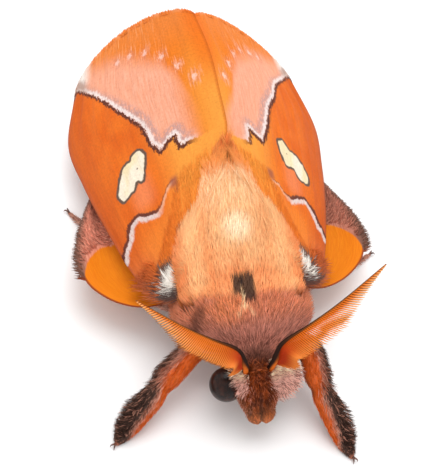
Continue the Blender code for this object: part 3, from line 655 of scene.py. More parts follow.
hindwing = {
    "inner": [(3.6, -6.6, 7.8), (3.2, -4.5, 10.0), (3.0, -1.5, 11.7), (2.6, 1.5, 12.4), (2.4, 4.0, 12.9),
              (2.5, 7.0, 13.4), (2.6, 10.0, 13.8), (2.8, 13.0, 14.1), (3.0, 15.5, 14.1)],
    "knee": [(3.8, -7.4, 7.2), (7.0, -8.2, 6.0), (9.0, -7.0, 5.3), (10.3, -4.6, 4.9), (11.0, -2.3, 4.8),
             (11.7, 0.8, 4.5), (12.3, 4.3, 4.1), (12.0, 8.3, 4.2), (10.9, 12.4, 5.2)],
    "costa": [(4.0, -8.4, 6.6), (8.6, -9.7, 5.4), (12.2, -8.6, 4.9), (15.0, -6.2, 5.1), (15.9, -3.3, 5.3),
              (15.5, 0.6, 5.0), (14.5, 4.6, 4.2), (13.0, 8.9, 3.9), (11.6, 13.0, 4.7)],
    "knots": [0.0, 0.12, 0.23, 0.33, 0.43, 0.56, 0.7, 0.85, 1.0],
    "knee place": 0.55,
    "veins": (0.14, 0.36, 0.56, 0.74, 0.90),
    "veinWidth": 0.014,
    "veinHeight": 0.05,
    "thickness": 0.16,
    "rows": 100,
    "columns": 70,
    "lobe end": {"t": (0.0, 0.59, 0.64, 0.70, 0.79, 0.87, 0.93, 0.97, 1.0),
                 "s": (0.52, 0.52, 0.535, 0.535, 0.505, 0.465, 0.425, 0.39, 0.36)},
    "seed": 31,
    "fur": {"count": 2600, "start": ((0.34, 0.98), (0.55, 0.99)), "travel": ((0.0, 0.035), (0.05, 0.11)),
            "ends": (-free, (free, 1.035)), "lift": (0.12, 0.4), "width": (0.10, 0.18)},
    "fringe": {"count": 900, "start": ((0.36, 1.0), (0.965, 0.995)), "travel": ((0.005, 0.03), (0.05, 0.10)),
               "lift": (-0.1, 0.25), "width": (0.09, 0.16)},
}


def hindwingUp(side, t):
    lean = 0.75 * np.clip((0.75 - t) / 0.35, 0, 1)
    return unit(np.stack([side * lean, np.zeros_like(t), np.ones_like(t)], axis=1))


def hindwingMap(side):
    def place(s, t, lift):
        rows = np.stack([curveAt(hindwing["knots"], hindwing[key], s) for key in ("inner", "knee", "costa")])
        knee = hindwing["knee place"]
        slopes = np.stack([(rows[1] - rows[0]) / knee, rows[2] - rows[0], (rows[2] - rows[1]) / (1 - knee)])
        first = t <= knee
        step = np.where(first, knee, 1 - knee)[:, None]
        part = np.where(first, t / knee, (t - knee) / (1 - knee))[:, None]
        pick = first[:, None]
        begin, finish = np.where(pick, rows[0], rows[1]), np.where(pick, rows[1], rows[2])
        leave, arrive = np.where(pick, slopes[0], slopes[1]), np.where(pick, slopes[1], slopes[2])
        points = hermite(begin, finish, leave, arrive, step, part)
        points[:, 0] *= side
        return points + hindwingUp(side, t) * lift[:, None]
    return place


def pastLobe(s, t):  # how far behind the lobe's end
    return s - np.interp(t, hindwing["lobe end"]["t"], hindwing["lobe end"]["s"])


def hindwingMarks(word, s, t):
    return {"mark": np.stack([s, t, np.full_like(s, sides[word])], axis=1), "lobe": pastLobe(s, t) * 28.0}


def hindwingColour(paint):
    s, t, side = paint.split(paint.vector("mark"))
    streaks = paint.noise(paint.join(s * 20.0, t * 70.0, side), 1.0, 4.0)
    grain = paint.noise(paint.join(s * 300.0, t * 160.0, side), 1.0, 2.0)
    yellow = paint.mix(streaks.ramp(0.35, 0.7), (0.71, 0.175, 0.003), (0.76, 0.21, 0.004))
    yellow = paint.mix(t.ramp(0.974, 0.992) * 0.9, yellow, (0.26, 0.04, 0.013))
    brown = paint.mix(streaks.ramp(0.35, 0.65), (0.56, 0.18, 0.115), (0.76, 0.31, 0.21))
    # The brown is painted lighter on the right hindwing as painted light and darker on the left as painted shade; it
    # darkens towards the edge
    brown = paint.mix(t.ramp(0.87, 1.0) * 0.85, paint.scaled(brown, 0.88 - side * 0.17), (0.13, 0.075, 0.055))
    edge = (paint.value("lobe") + (streaks - 0.5) * 0.6).ramp(-0.1, 0.35)
    return paint.mix(edge, yellow, brown), grain, streaks


def hindwingPaint():
    paint = Paint("hindwingScales", 0.65, 0.12)
    colour, grain, streaks = hindwingColour(paint)
    return paint.finish(paint.scaled(colour, grain * 0.2 + 0.9), 0.6 + grain * 0.15, grain * 0.4 + streaks)


def hindwingFurPaint():
    paint = Paint("hindwingFur", 0.75, 0.15)
    return paint.finish(paint.scaled(hindwingColour(paint)[0], paint.value("tone") * 0.6 + 0.8))


def buildHindwing(word, paint, furPaint):
    place = hindwingMap(sides[word])
    rows, columns = hindwing["rows"], hindwing["columns"]
    s, t = gridOf(np.linspace(0, 1, rows), np.linspace(0, 1, columns))
    fade = ease(0.0, 0.1, s) * (1 - ease(0.9, 1.0, s)) * (1 - ease(0.96, 1.0, t)) * (0.4 + 0.6 * ease(0.4, 0.5, s))
    lift = hindwing["veinHeight"] * veinsAt(t, hindwing) * fade
    sheetPiece(f"hindwing_{word}_skin", place(s, t, lift), place(s, t, lift - hindwing["thickness"]), rows, columns,
               paint, hindwingMarks(word, s, t), ["hindwing_" + word])
    # Fur over the band behind the lobe, then a longer dark fringe past the edge
    random = np.random.default_rng(hindwing["seed"] + sides[word])
    fur = hindwing["fur"]
    start = draw(random, fur["count"], *fur["start"])
    start = start[pastLobe(*start.T) > 0.01]
    furPiece(f"hindwing_{word}_fur", place, fur, furPaint, "hindwing", random, start,
             marksOf=lambda start, end: hindwingMarks(word, *start.T))
    furPiece(f"hindwing_{word}_fringe", place, hindwing["fringe"], furPaint, "hindwing", random,
             marksOf=lambda start, end: hindwingMarks(word, start[:, 0], np.ones(len(start))))


# Body: one skin from the head to the end of the abdomen

# y, half width, top, underside
bodyStations = np.array([
    (-22.9, 0.7, 4.4, 3.2),
    (-22.2, 1.25, 5.4, 2.7),
    (-21.0, 1.65, 6.6, 2.4),
    (-19.8, 2.0, 7.2, 2.6),
    (-18.6, 2.2, 7.5, 3.0),
    (-17.5, 2.9, 7.9, 3.3),
    (-16.2, 4.6, 8.9, 2.9),
    (-13.5, 6.2, 10.0, 2.4),
    (-10.5, 6.6, 10.9, 2.2),
    (-7.5, 6.0, 11.6, 2.5),
    (-5.0, 5.0, 12.5, 3.0),
    (-3.0, 4.3, 13.3, 3.4),
    (-1.2, 3.8, 13.7, 3.4),
    (1.2, 3.3, 13.6, 3.3),
    (4.0, 3.5, 12.4, 3.0),
    (6.0, 3.7, 10.4, 3.0),
    (9.0, 3.6, 10.0, 3.2),
    (13.5, 2.9, 9.5, 3.8),
    (17.0, 1.9, 8.8, 4.8),
    (19.0, 0.6, 7.6, 6.2),
])
bodyGrid = (150, 72)
bodyBox = ((-22.9, -2.2), (19.0, 5.4))  # y and angle that the UV map of the coat spans
coatEnd = 18.95
faceEnd = -23.3
# y, depth of the coat at the sides, on top and underneath
coatStations = np.array([
    (-22.8, 0.4, 0.5, 0.2),
    (-20.0, 0.4, 0.6, 0.3),
    (-18.3, 0.7, 0.8, 0.3),
    (-16.2, 0.9, 0.8, 0.3),
    (-13.5, 1.4, 0.8, 0.4),
    (-10.5, 1.0, 0.9, 0.4),
    (-7.5, 1.0, 1.0, 0.4),
    (-5.0, 1.4, 1.1, 0.4),
    (-3.0, 1.6, 1.1, 0.5),
    (-1.2, 1.6, 1.3, 0.5),
    (1.2, 1.5, 1.9, 0.5),
    (3.0, 1.2, 2.8, 0.5),
    (19.0, 0.6, 0.8, 0.5),
])


def bodyPlace(y, angle, lift):
    width, top, low = curveAt(bodyStations[:, 0], bodyStations[:, 1:], y).T
    height = (top - low) / 2
    cosine, sine = np.cos(angle), np.sin(angle)
    out = unit(np.stack([cosine / width, np.zeros_like(y), sine / height], axis=1))
    points = np.stack([width * cosine, y, (top + low) / 2 + height * sine], axis=1)
    return points + out * lift[:, None]


def coatDepth(y, angle):
    side, top, low = (np.interp(y, coatStations[:, 0], coatStations[:, k]) for k in (1, 2, 3))
    sine = np.sin(angle)
    return side * (1 - sine * sine) + np.where(sine > 0, top, low) * sine * sine


def bodyColour(paint):
    mark = paint.vector("mark")
    x, y, z = paint.split(mark)
    patchy = paint.noise(mark, 0.5, 3.0)
    fine = paint.noise(mark, 1.6, 3.0)
    wave = (patchy - 0.5) * 2.0
    # Pale middle and rear of the thorax, with a pale stripe down each side
    front = (y + wave * 0.5).below(-11.5, -9.0) * abs(x).below(2.0, 5.5)
    cream = abs(x).below(1.0, 4.4) * (y + wave * 0.8).ramp(-11.5, -7.0) * y.below(-2.0, 0.8)
    stripe = abs(x).about(4.5, 0.2, 1.3) * (y + wave).ramp(-13.0, -10.5) * y.below(-4.0, -2.0)
    seam = 1 - abs(x - 0.1).ramp(0.1, 0.5) * 0.85  # a thin red line where the wings meet
    # Collar of purplish brown in front, orange at the shoulders
    low = y + wave * 0.3
    slant = low + (z - 10.4) * 0.75  # the collar's rear edge runs back down the sides
    brown = paint.layers(
        paint.mix(slant.ramp(-18.4, -14.8), (0.40, 0.15, 0.105), (0.58, 0.19, 0.095)),
        (paint.near(mark, (-2.2, -14.6, 10.3), 0.4, 2.6) * 0.6, (0.74, 0.25, 0.09)),
        (fine.ramp(0.5, 0.72) * 0.35, (0.62, 0.27, 0.20)))
    # Two blackish spots split by a cream line, and a dark smudge on the right shoulder
    fuzz = (fine - 0.5) * 0.5
    right = (abs(x + 0.90) + fuzz).below(0.28, 0.58) * (abs(y + 12.4) + fuzz).below(0.7, 1.2)
    left = (abs(x - 0.14) + fuzz).below(0.48, 0.82) * (abs(y + 12.7) + fuzz).below(1.05, 1.6)
    slit = x.about(-0.48, 0.04, 0.17) * y.about(-13.9, 0.7, 1.3)
    chevron = abs(abs(x + 0.45) + (y + 14.2) * 0.6).below(0.05, 0.3) * y.about(-14.9, 0.4, 0.8)
    smudge = abs(x + 5.1 - (y + 15.0) * 0.25).below(0.15, 0.95) * y.about(-15.1, 0.8, 2.0)
    face = paint.mix(fine.ramp(0.35, 0.62), (0.075, 0.012, 0.002), (0.32, 0.058, 0.008))
    rings = abs(y.maths("FRACT", y * 0.42) - 0.5).ramp(0.1, 0.4)
    hind = paint.mix(rings, (0.62, 0.24, 0.08), (0.40, 0.14, 0.06))
    return paint.layers(
        paint.mix(patchy.ramp(0.4, 0.6), (0.86, 0.37, 0.14), (0.90, 0.46, 0.20)),
        (abs(x).ramp(4.8, 7.0), (0.84, 0.27, 0.09)),
        (front * 0.5, (0.86, 0.31, 0.12)),
        (cream * 0.75, (0.93, 0.60, 0.31)),
        (stripe * 0.55, (0.94, 0.60, 0.30)),
        # Cream hair on top of the dome, brightest at its centre as a painted highlight
        (paint.near(mark, (0.1, -6.4, 12.9), 0.4, 2.3), (0.97, 0.80, 0.57)),
        ((y + wave * 0.8).ramp(-2.4, 0.8), (0.84, 0.30, 0.075)),
        (y.ramp(0.8, 2.6) * seam, (0.62, 0.13, 0.03)),
        (slant.below(-14.0, -12.7), brown),
        ((right + left) * z.ramp(8.5, 9.5) * 0.92, (0.05, 0.030, 0.024)),
        ((slit + chevron * 0.5) * z.ramp(8.5, 9.5) * 0.85, (0.92, 0.66, 0.38)),
        (smudge * z.ramp(6.0, 7.0) * 0.75, (0.13, 0.045, 0.03)),
        # Head: dark neck, chestnut face, orange muzzle with a dark groove
        (low.below(-18.9, -17.7), (0.16, 0.055, 0.035)),
        (low.below(-20.2, -19.0), face),
        (y.about(-19.9, 0.3, 1.0) * abs(x).below(0.6, 1.6) * 0.55, (0.42, 0.085, 0.012)),
        (low.below(-23.7, -23.0) * 0.95, (0.74, 0.15, 0.015)),
        # The dark groove between the palps is painted shade
        (x.about(-0.1, 0.05, 0.35) * y.about(-22.9, 0.6, 1.3) * 0.85, (0.045, 0.010, 0.004)),
        # Underside and abdomen
        (z.below(3.0, 5.5) * 0.8, (0.38, 0.15, 0.07)),
        (y.ramp(1.5, 4.0) * z.below(12.8, 14.0), hind))


def bodyPaint():
    paint = Paint("bodySkin", 0.8)
    fine = paint.noise(paint.vector("mark"), 9.0, 3.0)
    return paint.finish(paint.scaled(bodyColour(paint), fine * 0.5 + 0.4), 0.8, fine, 0.0001)


def coatPaint():
    paint = Paint("bodyHair", 0.7, 0.15)
    tone = paint.value("tone")
    tip = paint.value("tipward")
    x, y = paint.split(paint.vector("mark"))[:2]
    velvet = y.below(-14.5, -12.5)  # the collar's short hair differs more from strand to strand
    pale = tone.ramp(0.70, 0.80) * y.below(-20.0, -18.6) * tip.ramp(0.2, 0.6) * y.ramp(-23.4, -22.6)
    mane = y.ramp(-5.0, -3.4) * y.below(-1.0, 0.6) * tone.ramp(0.55, 0.75)  # pale strands behind the dome
    colour = paint.layers(
        bodyColour(paint),
        (pale * (abs(x).ramp(0.5, 1.5) * 0.5 + 0.12), (0.60, 0.24, 0.17)),
        (mane * abs(x).below(2.5, 4.5) * 0.6, (0.96, 0.70, 0.46)))
    # Tone varies at random from tuft to tuft; darker roots and lighter tips are painted shade and light among the
    # hair
    shade = ((tone - 0.5) * (velvet * 0.55 + 0.42) + 1.03) * (tip * 0.42 + 0.86)
    return paint.finish(paint.scaled(colour, shade))


def buildBody(paint):
    y = bodyStations[:, 0]
    rings, around = bodyGrid
    alongs = np.concatenate([[y[0] - 0.15], np.linspace(y[0], y[-1], rings), [y[-1] + 0.15]])
    tubePiece("body_skin", bodyPlace, alongs, around, paint, ["thorax", "abdomen", "head"],
              inward=True)


mantle = {"t": (0.0, 0.05, 0.18, 0.27, 0.36, 0.48, 0.63, 0.80, 1.0),
          "s": (0.225, 0.212, 0.205, 0.200, 0.190, 0.160, 0.108, 0.072, 0.05),  # how far the thorax coat reaches
          "count": 18000, "seed": 70, "width": (0.07, 0.12)}
wingBase = []
for baseSide in sides.values():
    baseT, baseS = gridOf(np.linspace(0, 1, 18), np.linspace(0.0, 0.4, 26))
    covered = baseS < np.interp(baseT, mantle["t"], mantle["s"]) - 0.05
    covered |= (baseT < 0.12) & (baseS < 0.36)
    spots = forewingMap(baseSide)(baseS, baseT, np.zeros_like(baseS))
    wingBase.append((spots, forewingUp(baseSide, baseT), covered))


# Signed height over the nearest wing root, how far off it is, and whether hair hides it
def heightOverWings(points):
    best = np.full(len(points), 1e9)
    height = np.zeros(len(points))
    hidden = np.zeros(len(points), bool)
    for spots, ups, covered in wingBase:
        for first in range(0, len(points), 4000):
            part = slice(first, first + 4000)
            gap = np.linalg.norm(points[part, None] - spots[None], axis=2)
            index = gap.argmin(axis=1)
            nearest = gap[np.arange(len(index)), index]
            rise = ((points[part] - spots[index]) * ups[index]).sum(axis=1)
            closer = nearest < best[part]
            height[part] = np.where(closer, rise, height[part])
            hidden[part] = np.where(closer, covered[index], hidden[part])
            best[part] = np.minimum(best[part], nearest)
    return height, best, hidden


def clearOfWings(start, end, lift):
    rootHeight = heightOverWings(bodyPlace(*start.T, np.zeros(len(start))))[0]
    tipHeight, gap, hidden = heightOverWings(bodyPlace(*end.T, lift))
    return ~((rootHeight < 0) & (tipHeight > -0.15) & (gap < 2.5) & ~hidden)


coats = {
    # y range, half spread of the angle around the top in degrees, travel back in mm, share of the coat's depth
    "collar": {"count": 18000, "y": (-17.7, -12.0), "spread": 120, "travel": (0.7, 1.3), "lift": (0.35, 1.05),
               "width": (0.07, 0.12), "seed": 3},
    "thorax_under": {"count": 5200, "y": (-17.6, -2.6), "spread": 180, "travel": (1.2, 2.0), "lift": (0.2, 0.6),
                     "width": (0.14, 0.22), "seed": 8},
    "thorax_middle": {"count": 17800, "y": (-13.5, -2.0), "spread": 110, "travel": (1.0, 2.0), "lift": (0.4, 0.95),
                      "width": (0.07, 0.12), "seed": 4},
    "thorax_top": {"count": 8500, "y": (-12.5, -3.2), "spread": 95, "travel": (1.6, 2.8), "lift": (0.7, 1.1),
                   "width": (0.06, 0.11), "seed": 5, "form": "long"},
    "thorax_rear": {"count": 11000, "y": (-5.5, 2.2), "spread": 75, "travel": (1.2, 2.8), "lift": (0.45, 1.08),
                    "width": (0.07, 0.12), "seed": 6},
    "abdomen": {"count": 3900, "y": (-1.0, 18.6), "spread": 180, "travel": (1.2, 2.0), "lift": (0.35, 0.7),
                "width": (0.16, 0.30), "seed": 7},
}


def buildCoat(name, paint):
    shape = coats[name]
    random = np.random.default_rng(shape["seed"])
    count = shape["count"]
    y = random.uniform(*shape["y"], count)
    angle = math.pi / 2 + math.radians(shape["spread"]) * random.uniform(-1, 1, count)
    travel = random.uniform(*shape["travel"], count)
    inward = np.cos(angle) * 0.16 * ease(-12.0, -4.0, y) * random.uniform(0.3, 1.0, count)
    start = np.stack([y, angle], axis=1)
    end = start + np.stack([travel, inward * travel + random.uniform(-0.06, 0.06, count)], axis=1)
    end[:, 0] = np.minimum(end[:, 0], coatEnd)
    lift = coatDepth(*end.T) * random.uniform(*shape["lift"], count)
    if name == "abdomen":
        lift = np.minimum(lift, random.uniform(0.25, 0.5, count))
    start, end, lift = chosen(clearOfWings(start, end, lift), start, end, lift)
    width = random.uniform(*shape["width"], len(start))
    tuftPiece(name + "_fur", bodyPlace, start, end, lift, width, paint,
              "abdomen_coat" if name == "abdomen" else "thorax_coat", random, uvBox=bodyBox,
              form=shape.get("form", "short"))


# Head: hair that points forward and down on the face, up on the crown, and pale tufts beside the antennae

headCoat = {"seed": 12, "count": 6500, "y": (-22.8, -17.6), "spread": 170, "travel": (0.5, 1.0),
            "turn": (-0.25, 0.25), "lift": (0.5, 1.2), "width": (0.06, 0.11), "eye gap": 0.12}
cheeks = {"count": 900, "y": (-21.3, -18.9), "angle": (30, 60), "travel": (-0.75, -0.15), "turn": (-0.35, 0.1),
          "lift": (0.5, 1.2), "width": (0.06, 0.11), "eye gap": 0.05, "reach": {"right": 0.8, "left": 1.2}}


def faceTufts(name, shape, start, end, lift, paint, random, **settings):
    keep = clearOfEyes(bodyPlace(*end.T, lift), shape["eye gap"])
    start, end, lift = chosen(keep, start, end, lift)
    width = random.uniform(*shape["width"], len(start))
    tuftPiece(name, bodyPlace, start, end, lift, width, paint, "head_coat", random, uvBox=bodyBox,
              form="long", **settings)


def buildHeadCoat(paint, tuftPaint):
    shape = headCoat
    random = np.random.default_rng(shape["seed"])
    count = shape["count"]
    y = random.uniform(*shape["y"], count)
    angle = math.pi / 2 + math.radians(shape["spread"]) * random.uniform(-1, 1, count)
    forward = 1 - ease(-20.4, -18.8, y)
    travel = random.uniform(*shape["travel"], count) * (1 - 2 * forward)
    start = np.stack([y, angle], axis=1)
    end = start + np.stack([travel, random.uniform(*shape["turn"], count)], axis=1)
    end[:, 0] = np.maximum(end[:, 0], faceEnd)
    lift = coatDepth(y, angle) * random.uniform(*shape["lift"], count) + 0.2 * forward
    faceTufts("head_fur", shape, start, end, lift, paint, random)
    shape = cheeks
    count = shape["count"]
    for word, side in sides.items():
        y = random.uniform(*shape["y"], count)
        angle = math.pi / 2 - side * np.radians(random.uniform(*shape["angle"], count))
        start = np.stack([y, angle], axis=1)
        end = start + draw(random, count, shape["travel"], shape["turn"]) * (1, side)
        lift = random.uniform(*shape["lift"], count) * shape["reach"][word]
        faceTufts(f"cheek_{word}_fur", shape, start, end, lift, tuftPaint, random, rise=0.9, curl=0.25)


# Hair that leans over the eyes: axis it grows from, and how far over the eye in degrees it starts and ends
lashes = {
    "right": {"axis": (0.93, 0.0, 0.35), "start": (5, 40), "end": (38, 62), "count": 1500},
    "left": {"axis": (-0.62, 0.05, 0.78), "start": (5, 75), "end": (45, 104), "count": 2800},
    "lift": (0.15, 0.85),
    "width": (0.05, 0.09),
    "stray": (-20, 20),
    "seed": 90,
}


def buildLashes(word, paint):
    shape = lashes[word]
    random = np.random.default_rng(lashes["seed"] + sides[word])
    axis = unit(np.array(shape["axis"]))
    across = unit(np.cross(axis, (0.0, 1.0, 0.0)))
    other = np.cross(axis, across)
    centre = np.array(eyeShape["centre"]) * (sides[word], 1, 1)

    def place(polar, turn, lift):
        around = across * np.cos(turn)[:, None] + other * np.sin(turn)[:, None]
        out = axis * np.cos(polar)[:, None] + around * np.sin(polar)[:, None]
        return centre + out * (eyeShape["radius"] + lift)[:, None]

    count = shape["count"]
    part = random.random(count)
    turn = random.uniform(0, fullTurn, count)
    start = np.stack([np.radians(np.interp(part, (0, 1), shape["start"])), turn], axis=1)
    polar = np.interp(part, (0, 1), shape["end"]) + random.uniform(*lashes["stray"], count)
    end = np.stack([np.radians(polar), turn + random.uniform(-0.4, 0.4, count)], axis=1)
    lift, width = draw(random, count, lashes["lift"], lashes["width"]).T
    tuftPiece(f"lash_{word}_fur", place, start, end, lift, width, paint, "head_coat", random,
              sink=-0.05, rise=1.0, curl=0.25, uvBox=((0, 0), (math.pi, fullTurn)), form="long")


def clearOfEyes(points, gap):
    centre = np.array(eyeShape["centre"])
    folded = np.stack([np.abs(points[:, 0]), points[:, 1], points[:, 2]], axis=1)
    return np.linalg.norm(folded - centre, axis=1) > eyeShape["radius"] + gap


def cheekPaint():
    paint = Paint("cheekHair", 0.7, 0.15)
    tone = paint.value("tone")
    y, z = paint.split(paint.vector("mark"))[1:]
    pink = paint.mix(tone.ramp(0.1, 0.6), (0.30, 0.10, 0.07), (0.88, 0.53, 0.44))
    colour = paint.mix((z + y * 0.6).ramp(-6.4, -5.2) * tone.ramp(0.0, 0.5), pink, (1.0, 0.80, 0.58))
    # The tufts are painted lighter towards their tips and darker at the roots, as painted light and shade among the
    # hair
    return paint.finish(paint.scaled(colour, paint.value("tipward") * 0.5 + 0.9))


palps = {
    "path": [(0.7, -20.6, 4.5), (0.64, -22.2, 3.8), (0.44, -23.6, 3.2)],
    "radii": [0.6, 0.82, 0.78],
    "round": 0.72,
    "grid": (30, 16),
    "seed": 20,
    "fur": {"count": 1300, "start": ((0.05, 0.99), (0, fullTurn)), "travel": ((0.08, 0.2), (-0.3, 0.3)),
            "ends": (-free, (1.07, free)), "lift": (0.06, 0.26), "width": (0.06, 0.10),
            "uvBox": ((0, 0), (1.1, fullTurn))},
}


def buildPalp(word, skinPaint, hairPaint):
    place = tubeMap(np.array(palps["path"]) * (sides[word], 1, 1), palps["radii"])

    def blunt(along, angle, lift):  # rounded tip
        part = np.clip((along - palps["round"]) / (1.04 - palps["round"]), 0, 1)
        shrink = 0.05 + 0.95 * np.sqrt(1 - part * part)
        core = coreOf(place, along, angle)
        return core + (place(along, angle, lift) - core) * shrink[:, None]

    rings, around = palps["grid"]
    tubePiece(f"palp_{word}_skin", blunt, np.linspace(0, 1.03, rings), around, skinPaint,
              ["palp_" + word])
    random = np.random.default_rng(palps["seed"] + sides[word])
    furPiece(f"palp_{word}_fur", blunt, palps["fur"], hairPaint, "head_coat", random)


# Eyes

def eyePaint():
    paint = Paint("eyeGloss", 0.25, 0.22)
    where = paint.vector("mark")
    cells = paint.node("TexVoronoi", sockets={"Vector": where, "Scale": 9.0})
    dapple = paint.noise(where, 1.2, 3.0)
    colour = paint.mix(dapple.ramp(0.4, 0.7), (0.010, 0.004, 0.003), (0.040, 0.013, 0.008))
    return paint.finish(colour, None, cells, 0.00001)


def buildEye(word, paint):
    rings = eyeShape["rings"]
    centre = np.array(eyeShape["centre"]) * (sides[word], 1, 1)

    def place(along, angle, lift):
        radius = eyeShape["radius"] + lift
        flat = np.sin(along) * radius
        return centre + np.stack([flat * np.cos(angle), flat * np.sin(angle), np.cos(along) * radius * 1.02], axis=1)

    polar = np.linspace(0.02, math.pi - 0.02, rings)
    tubePiece(f"eye_{word}_globe", place, polar, 2 * rings, paint, ["eye_" + word], inward=True)


# Antennae: a shaft, orange in front and painted dark behind as shadow, with two rows of fine rays

antenna = {
    "path": [(1.2, -19.9, 6.6), (1.5, -20.0, 8.4), (2.3, -19.3, 10.2), (4.9, -18.8, 12.0), (7.8, -18.2, 14.2),
             (11.8, -17.0, 17.5)],
    "radii": [0.34, 0.36, 0.25, 0.14, 0.11, 0.06],
    "rows": [{"lie": (0.12, -0.52, -0.84), "length": 0.8}, {"lie": (0.10, -0.98, -0.05), "length": 1.0}],
    "span": (0.17, 0.99),
    # Share of the full length near the base, against the place along the row
    "base": {"right": ((0, 0.05, 0.12, 0.22, 0.4), (0.35, 0.62, 0.95, 1.08, 1.0)),
             "left": ((0, 0.05, 0.14, 0.25, 0.4), (0.3, 0.75, 1.0, 1.08, 1.0))},
    "rootLie": (0.8, -0.45, -0.15),  # the lowest rays stand out sideways and droop, as a cup
    "droop": (0.0, -0.10, -0.16),
    "tipShift": {"right": (0.0, 0.0, -0.8), "left": (0.0, 0.0, 0.7)},
    "shaft": (120, 14),  # rings, and points around each
    "length": 2.9,
    "count": 70,
    "sides": 5,
    "stations": (0.0, 0.3, 0.6, 0.88),
    "sizes": (0.078, 0.074, 0.068, 0.055),
}


def antennaPaint():
    paint = Paint("antennaRays", 0.6, 0.15)
    row, reach, along = paint.split(paint.vector("mark"))
    colour = paint.layers(
        paint.mix(reach.ramp(0.2, 1.0), (0.80, 0.18, 0.010), (0.86, 0.28, 0.05)),
        (along.ramp(0.55, 0.95) * reach.ramp(0.1, 0.6) * 0.7, (0.95, 0.46, 0.16)),
        (along.below(0.32, 0.60) * (1 - reach.ramp(0.3, 0.9) * 0.85), (0.42, 0.032, 0.002)))
    return paint.finish(paint.scaled(colour, row * 0.5 + 0.5))  # the row behind is in its neighbour's shade


def shaftPaint():
    paint = Paint("antennaShaft", 0.7, 0.1)
    back, _, along = paint.split(paint.vector("mark"))
    # The shaft is painted near black as shadow, except where it faces forward and down, which is orange
    colour = paint.mix(back.ramp(-0.75, -0.35), (0.62, 0.13, 0.012), (0.020, 0.008, 0.005))
    colour = paint.mix(along.ramp(0.35, 0.85) * back.below(0.0, 0.6), colour, (0.40, 0.12, 0.02))
    return paint.finish(colour, None, along.maths("SINE", along * 110.0), 0.00002)


def buildAntenna(word, rayPaint, stemPaint):
    side = sides[word]
    path = np.array(antenna["path"]) * (side, 1, 1)
    knots = evenKnots(path)
    path = path + knots[:, None] ** 2 * antenna["tipShift"][word]
    place = tubeMap(path, antenna["radii"])
    rings, around = antenna["shaft"]
    points, along, angle = wrapPoints(place, np.linspace(0, 1, rings), around)
    out = unit(points[:-2] - place(along, angle, np.full(len(along), -0.05)))
    marks = withEnds(np.stack([out @ np.array([0.0, 0.75, 0.66]), angle, along], axis=1))
    makePiece(f"antenna_{word}_shaft", points, tubeFaces(rings, around), stemPaint, {"mark": marks})
    count, around, stations = antenna["count"], antenna["sides"], antenna["stations"]
    turns = fullTurn * np.arange(around) / around
    reachMark = np.append(np.repeat(stations, around), [0.0, 1.0])
    tubes, marks = [], []
    for row, shape in enumerate(antenna["rows"]):
        part = (np.arange(count) + 0.5 * row) / (count - 0.5)
        value = antenna["span"][0] + (antenna["span"][1] - antenna["span"][0]) * part
        roots = curveAt(knots, path, value)
        ahead = unit(curveAt(knots, path, value + 0.005) - curveAt(knots, path, value - 0.005))
        cup = 1 - ease(0.0, 0.24, part)
        lie = np.array(shape["lie"]) + cup[:, None] * (np.array(antenna["rootLie"]) - shape["lie"])
        lie = lie * (side, 1, 1)
        across = unit(lie - ahead * (ahead * lie).sum(axis=1)[:, None])
        direction = unit(across + ahead * (0.05 + 0.45 * part + 0.5 * part ** 2)[:, None])
        reach = antenna["length"] * shape["length"] * np.minimum(1, 0.06 + 2.5 * (1 - part))
        reach *= np.interp(part, *antenna["base"][word])
        reach *= 1 + 0.03 * np.sin(np.arange(count) * 2.4)
        for k in range(count):
            beside = unit(np.cross(direction[k], ahead[k]))
            ring = beside * np.cos(turns)[:, None] + np.cross(beside, direction[k]) * np.sin(turns)[:, None]
            droop = cup[k] * np.array(antenna["droop"])
            ray = []
            for station, size in zip(stations, antenna["sizes"]):
                bend = (0.10 * ahead[k] + droop) * reach[k] * station ** 2
                ray.append(roots[k] + direction[k] * reach[k] * station + bend + ring * size)
            tip = roots[k] + direction[k] * reach[k] + (0.14 * ahead[k] + droop * 1.2) * reach[k]
            tubes.append(np.concatenate(ray + [roots[k][None], tip[None]]))
            rowMark, alongMark = np.full_like(reachMark, row), np.full_like(reachMark, value[k])
            marks.append(np.stack([rowMark, reachMark, alongMark], axis=1))
    manyTubes(f"antenna_{word}_rays", tubes, marks, len(stations), around, rayPaint, ["antenna_" + word])


# Legs

legs = {
    "foreleg_right": [(-3.0, -14.0, 4.0), (-5.6, -15.2, 4.2), (-9.3, -18.2, 3.1), (-11.9, -20.4, 1.6),
                      (-13.3, -21.5, 0.5), (-14.4, -22.4, 0.22)],
    "foreleg_left": [(3.2, -14.2, 4.2), (6.2, -16.9, 4.6), (6.6, -20.2, 3.7), (7.7, -23.9, 1.8), (8.3, -25.8, 0.5),
                     (8.9, -27.4, 0.22)],
    "midleg_right": [(-3.6, -9.6, 3.6), (-6.6, -8.2, 3.0), (-9.6, -5.6, 2.0), (-11.6, -3.2, 0.9),
                     (-12.4, -1.6, 0.36), (-12.7, -0.2, 0.2)],
    "midleg_left": [(3.6, -9.6, 3.6), (6.8, -8.4, 3.0), (11.0, -5.8, 2.0), (14.6, -3.8, 0.9), (16.4, -3.0, 0.36),
                    (18.1, -2.1, 0.2)],
    "hindleg_right": [(-3.2, -6.0, 3.8), (-6.0, -2.6, 3.0), (-10.2, 1.6, 2.0), (-13.6, 5.4, 0.9),
                      (-14.9, 7.0, 0.36), (-16.2, 8.8, 0.2)],
    "hindleg_left": [(3.2, -6.0, 3.8), (5.8, -2.4, 3.0), (9.0, 2.8, 2.0), (11.4, 7.2, 0.9), (12.1, 9.2, 0.36),
                     (12.6, 11.2, 0.2)],
}
knees = {"foreleg_right": 0.40, "foreleg_left": 0.43}  # where along the leg its knee is
